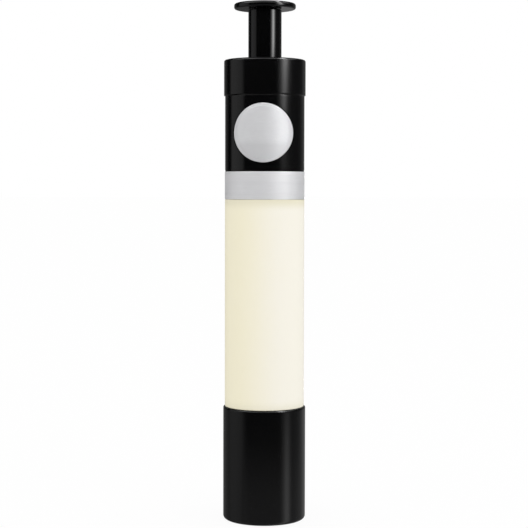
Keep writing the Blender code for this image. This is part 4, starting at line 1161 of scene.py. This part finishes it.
# Levels of the panels that the gloss shows, by the angle in degrees round the pen. 0 is the front.
WALL_LEVELS = (
    (-180, 0.07),
    (-165, 0.1),
    (-150, 0.12),
    (-137, 0.06),
    (-126, 0.0),
    (-114, 0.0),
    (-108, 0.3),
    (-90, 0.38),
    (-67, 0.33),
    (-59, 0.0),
    (60, 0.0),
    (66, 0.08),
    (75, 0.1),
    (88, 0.06),
    (104, 0.04),
    (122, 0.05),
    (135, 0.13),
    (165, 0.17),
    (180, 0.24),
)
HIGH_LEVELS = (
    (-97, 0.0),
    (-85, 0.6),
    (-65, 1.0),
    (-45, 0.95),
    (-20, 0.65),
    (0, 0.55),
    (25, 0.8),
    (45, 0.6),
    (60, 0.35),
    (85, 1.0),
    (100, 0.4),
    (112, 0.0),
)
LAMP_LEVELS = ((47, 0.0), (52, 1.0), (64, 1.0), (69, 0.0))
STRIP_LEVELS = (
    (33, 0.0),
    (40, 0.1),
    (46.5, 0.4),
    (52, 0.95),
    (58.5, 1.0),
    (63.5, 0.5),
    (69.5, 0.1),
    (79, 0.0),
)
# The same below the floor's height, which only the cap shows
LOW_LEVELS = (
    (-180, 0.15),
    (-139, 0.13),
    (-116, 0.11),
    (-104, 0.2),
    (-85, 0.26),
    (-66, 0.25),
    (-55, 0.06),
    (-47, 0.0),
    (46, 0.0),
    (62, 0.1),
    (90, 0.11),
    (108, 0.13),
    (136, 0.31),
    (180, 0.25),
)
LOW_STRIP_LEVELS = ((46, 0.0), (56, 0.4), (63, 1.0), (70, 0.85), (78, 0.15), (84, 0.0))
LOW_GLOW_LEVELS = ((-62, 0.0), (-53, 1.0), (45, 1.0), (65, 0.5), (110, 0.5), (125, 0.0))
# Strength of the strip by the height in millimetres, as far as the top of the ramp
STRIP_RISE = (
    (0, 0.025),
    (87, 0.029),
    (97, 0.11),
    (103, 0.28),
    (107, 0.24),
    (117, 0.22),
    (125, 1.0),
    (141, 1.0),
    (144, 0.02),
)
RISE_TOP = 200.0
# Heights in millimetres between which the panels' parts come or go
STRIP_LEAN = (119, 127)
HIGH_START = (155, 180)
HIGH_END = (330, 420)
LAMP_START = (194, 214)
LAMP_END = (400, 430)
LOW_GLOW = (-42.5, -26)
LOW_GLINT = (-44.5, -5.7)


def angle_ramp(tree, angle, levels):
    """Levels by the angle round the pen, which comes as a share of the full turn."""
    stops = [((degrees + 180.0) / 360.0, level) for degrees, level in levels]
    return tree.node("ShaderNodeValToRGB", {"stops": stops}, {"Fac": angle})


def panel_material(studio):
    """Dark panels with bright fields and one bright strip, apart above and below the floor's height."""
    material = bpy.data.materials.new("studio_panels")
    tree = Tree(material)
    tree.nodes.remove(tree.nodes["Principled BSDF"])
    x, y, z = (tree.axis(index) for index in range(3))

    def by_height(span, first, last):
        start, end = span
        return tree.smooth_range(z, start * MM, end * MM, first, last)

    angle = x.maths("ARCTAN2", x, y * -1.0) / math.tau + 0.5
    stops = [(height / RISE_TOP, level) for height, level in STRIP_RISE]
    rise = tree.node("ShaderNodeValToRGB", {"stops": stops}, {"Fac": z / (RISE_TOP * MM)})
    lean = 4.0 / 360.0  # as a share of the full turn
    leaning = angle - by_height(STRIP_LEAN, 0.0, lean)
    high = by_height(HIGH_START, 0.0, studio.high) * by_height(HIGH_END, 1.0, 0.0)
    lamp = by_height(LAMP_START, 0.0, studio.lamp) * by_height(LAMP_END, 1.0, 0.0)
    wall = angle_ramp(tree, angle, WALL_LEVELS)
    wall = wall + angle_ramp(tree, leaning, STRIP_LEVELS) * rise * studio.strip
    wall = wall + angle_ramp(tree, angle, HIGH_LEVELS) * high
    wall = wall + angle_ramp(tree, angle, LAMP_LEVELS) * lamp
    low = angle_ramp(tree, angle, LOW_LEVELS)
    low = low + angle_ramp(tree, angle, LOW_STRIP_LEVELS) * by_height(LOW_GLINT, 0.84, 0.2)
    low = low + angle_ramp(tree, angle, LOW_GLOW_LEVELS) * by_height(LOW_GLOW, 0.2, 0.0)
    below = z.maths("LESS_THAN", z, 0.0)
    strength = wall * (1.0 - below) + low * below
    emission = tree.node("ShaderNodeEmission", None, {"Strength": strength})
    tree.links.new(emission.socket, tree.nodes["Material Output"].inputs["Surface"])
    material.cycles.emission_sampling = "NONE"
    return material


def floor_material():
    """Pale matt paper. What sees it directly gets mostly plain white, with some of the pen's shadow."""
    material = bpy.data.materials.new("studio_floor")
    tree = Tree(material)
    tree.nodes.remove(tree.nodes["Principled BSDF"])
    paper = tree.node("ShaderNodeBsdfDiffuse", None, {"Color": (0.9, 0.9, 0.9, 1.0)})
    white = tree.node("ShaderNodeEmission", None, {"Strength": 1.0})
    plain_white = seen_share(tree) * 0.93
    mixed = tree.node("ShaderNodeMixShader", None, {0: plain_white, 1: paper, 2: white})
    tree.links.new(mixed.socket, tree.nodes["Material Output"].inputs["Surface"])
    return material


def white_world(studio):
    """White behind the pen, and a plain soft light from all round."""
    world = bpy.data.worlds.new("studio_light")
    bpy.context.scene.world = world
    tree = Tree(world)
    seen = seen_share(tree)
    strength = studio.fill + seen * (1.0 - studio.fill)
    tree.feed(tree.nodes["Background"].inputs["Color"], (1.0, 1.0, 1.0, 1.0))
    tree.feed(tree.nodes["Background"].inputs["Strength"], strength)


def soft_lamp(name, place, power, tint):
    """A round lamp turned to the pen's middle, which nothing shows as a reflection."""
    lamp = bpy.data.lights.new(name, "AREA")
    lamp.shape = "DISK"
    lamp.size = LAMP_SIZE
    lamp.energy = power
    lamp.color = tint
    made = add_object(name, lamp)
    made.location = place
    made.rotation_euler = (LAMP_TARGET - Vector(place)).to_track_quat("-Z", "Y").to_euler()
    made.visible_camera = False
    made.visible_glossy = False
    return made


# Places and sizes in metres
FLOOR_REACH = 12.0
PANEL_FOOT = -0.12
PANEL_TOP = 0.6
LAMP_SIZE = 0.4
LAMP_TARGET = Vector((0, 0, 55 * MM))
RIGHT_LAMP = (0.45, -0.45, 0.3)
SIDE_LAMP = (0.62, 0.11, 0.3)
SENSOR_WIDTH = 36.0  # in millimetres


class PEN_OT_studio(bpy.types.Operator):
    """Builds the floor, the panels, the lamps, the world and the camera"""

    bl_idname = "pen.studio"
    bl_label = "Studio"

    def execute(self, context):
        studio = context.scene.pen_studio
        floor = self.add_floor()
        panels = self.add_panels(studio)
        white_world(studio)
        soft_lamp("right_lamp", RIGHT_LAMP, studio.key, (0.94, 0.97, 1.0))
        soft_lamp("side_lamp", SIDE_LAMP, studio.key / 2, (1.0, 1.0, 1.0))
        self.add_camera(studio)
        context.scene.view_settings.view_transform = "Standard"
        return {"FINISHED"}

    def add_floor(self):
        shape = bmesh.new()
        bmesh.ops.create_grid(shape, x_segments=8, y_segments=8, size=FLOOR_REACH)
        floor = add_object("studio_floor", mesh_from("studio_floor", shape))
        floor.data.materials.append(floor_material())
        floor.visible_glossy = False
        return floor

    def add_panels(self, studio):
        """A drum of panels round the pen, which only its gloss shows."""
        radius = studio.surround
        drum = [(0, PANEL_FOOT, 0), (radius, PANEL_FOOT, 0), (radius, PANEL_TOP, 0), (0, PANEL_TOP, 0)]
        shape = turned(drum, closed=False, steps=96)
        panels = add_object("studio_panels", mesh_from("studio_panels", shape))
        panels.data.materials.append(panel_material(studio))
        panels.rotation_euler.z = studio.turn
        panels.visible_camera = False
        panels.visible_diffuse = False
        panels.visible_transmission = False
        panels.visible_shadow = False
        return panels

    def add_camera(self, studio):
        camera = bpy.data.cameras.new("camera")
        camera.sensor_width = SENSOR_WIDTH
        camera.lens = studio.lens
        camera.shift_y = studio.down
        camera.clip_start = 0.01
        camera.clip_end = 30.0
        made = add_object("camera", camera)
        round_pen = Matrix.Rotation(studio.turn, 3, "Z")
        made.location = round_pen @ Vector((studio.aside, -studio.distance, studio.eye))
        made.rotation_euler = (RIGHT_ANGLE - studio.tilt, -studio.roll, studio.turn)
        bpy.context.scene.camera = made


class PEN_PT_panel(bpy.types.Panel):
    """The pen's pieces, its colours and the studio"""

    bl_idname = "PEN_PT_panel"
    bl_label = "Nail polish pen"
    bl_space_type = "VIEW_3D"
    bl_region_type = "UI"
    bl_category = "Pen"

    def draw(self, context):
        column = self.layout.column(align=True)
        for operator in OPERATORS:
            column.operator(operator.bl_idname)
        for name in GROUPS:
            group = getattr(context.scene, name)
            box = self.layout.box()
            box.label(text=group.__class__.__doc__)
            for prop in group.__class__.__annotations__:
                box.prop(group, prop)


GROUPS = {
    "pen_cap": PenCapSizes,
    "pen_barrel": PenBarrelSizes,
    "pen_press": PenPressSizes,
    "pen_brush": PenBrushSizes,
    "pen_colours": PenColours,
    "pen_studio": PenStudio,
}

OPERATORS = (
    PEN_OT_cap,
    PEN_OT_inner_cap,
    PEN_OT_barrel,
    PEN_OT_band,
    PEN_OT_housing,
    PEN_OT_badge,
    PEN_OT_collar,
    PEN_OT_stem,
    PEN_OT_disc,
    PEN_OT_spring,
    PEN_OT_nozzle,
    PEN_OT_bristles,
    PEN_OT_rings,
    PEN_OT_drive,
    PEN_OT_studio,
)

CLASSES = (*GROUPS.values(), *OPERATORS, PEN_PT_panel)


def register():
    for made in CLASSES:
        bpy.utils.register_class(made)
    for name, group in GROUPS.items():
        setattr(bpy.types.Scene, name, PointerProperty(type=group))


def unregister():
    for name in GROUPS:
        delattr(bpy.types.Scene, name)
    for made in reversed(CLASSES):
        bpy.utils.unregister_class(made)


def clear_default_scene():
    """Removes what a new file holds, other than the frame."""
    kept = {*frame["nodes"].values(), *frame["bodies"].values()}
    for obj in list(bpy.data.objects):
        if obj not in kept:
            bpy.data.objects.remove(obj)


def main():
    register()
    clear_default_scene()
    for operator in OPERATORS:
        group, name = operator.bl_idname.split(".")
        getattr(getattr(bpy.ops, group), name)()


if __name__ == "__main__":
    main()
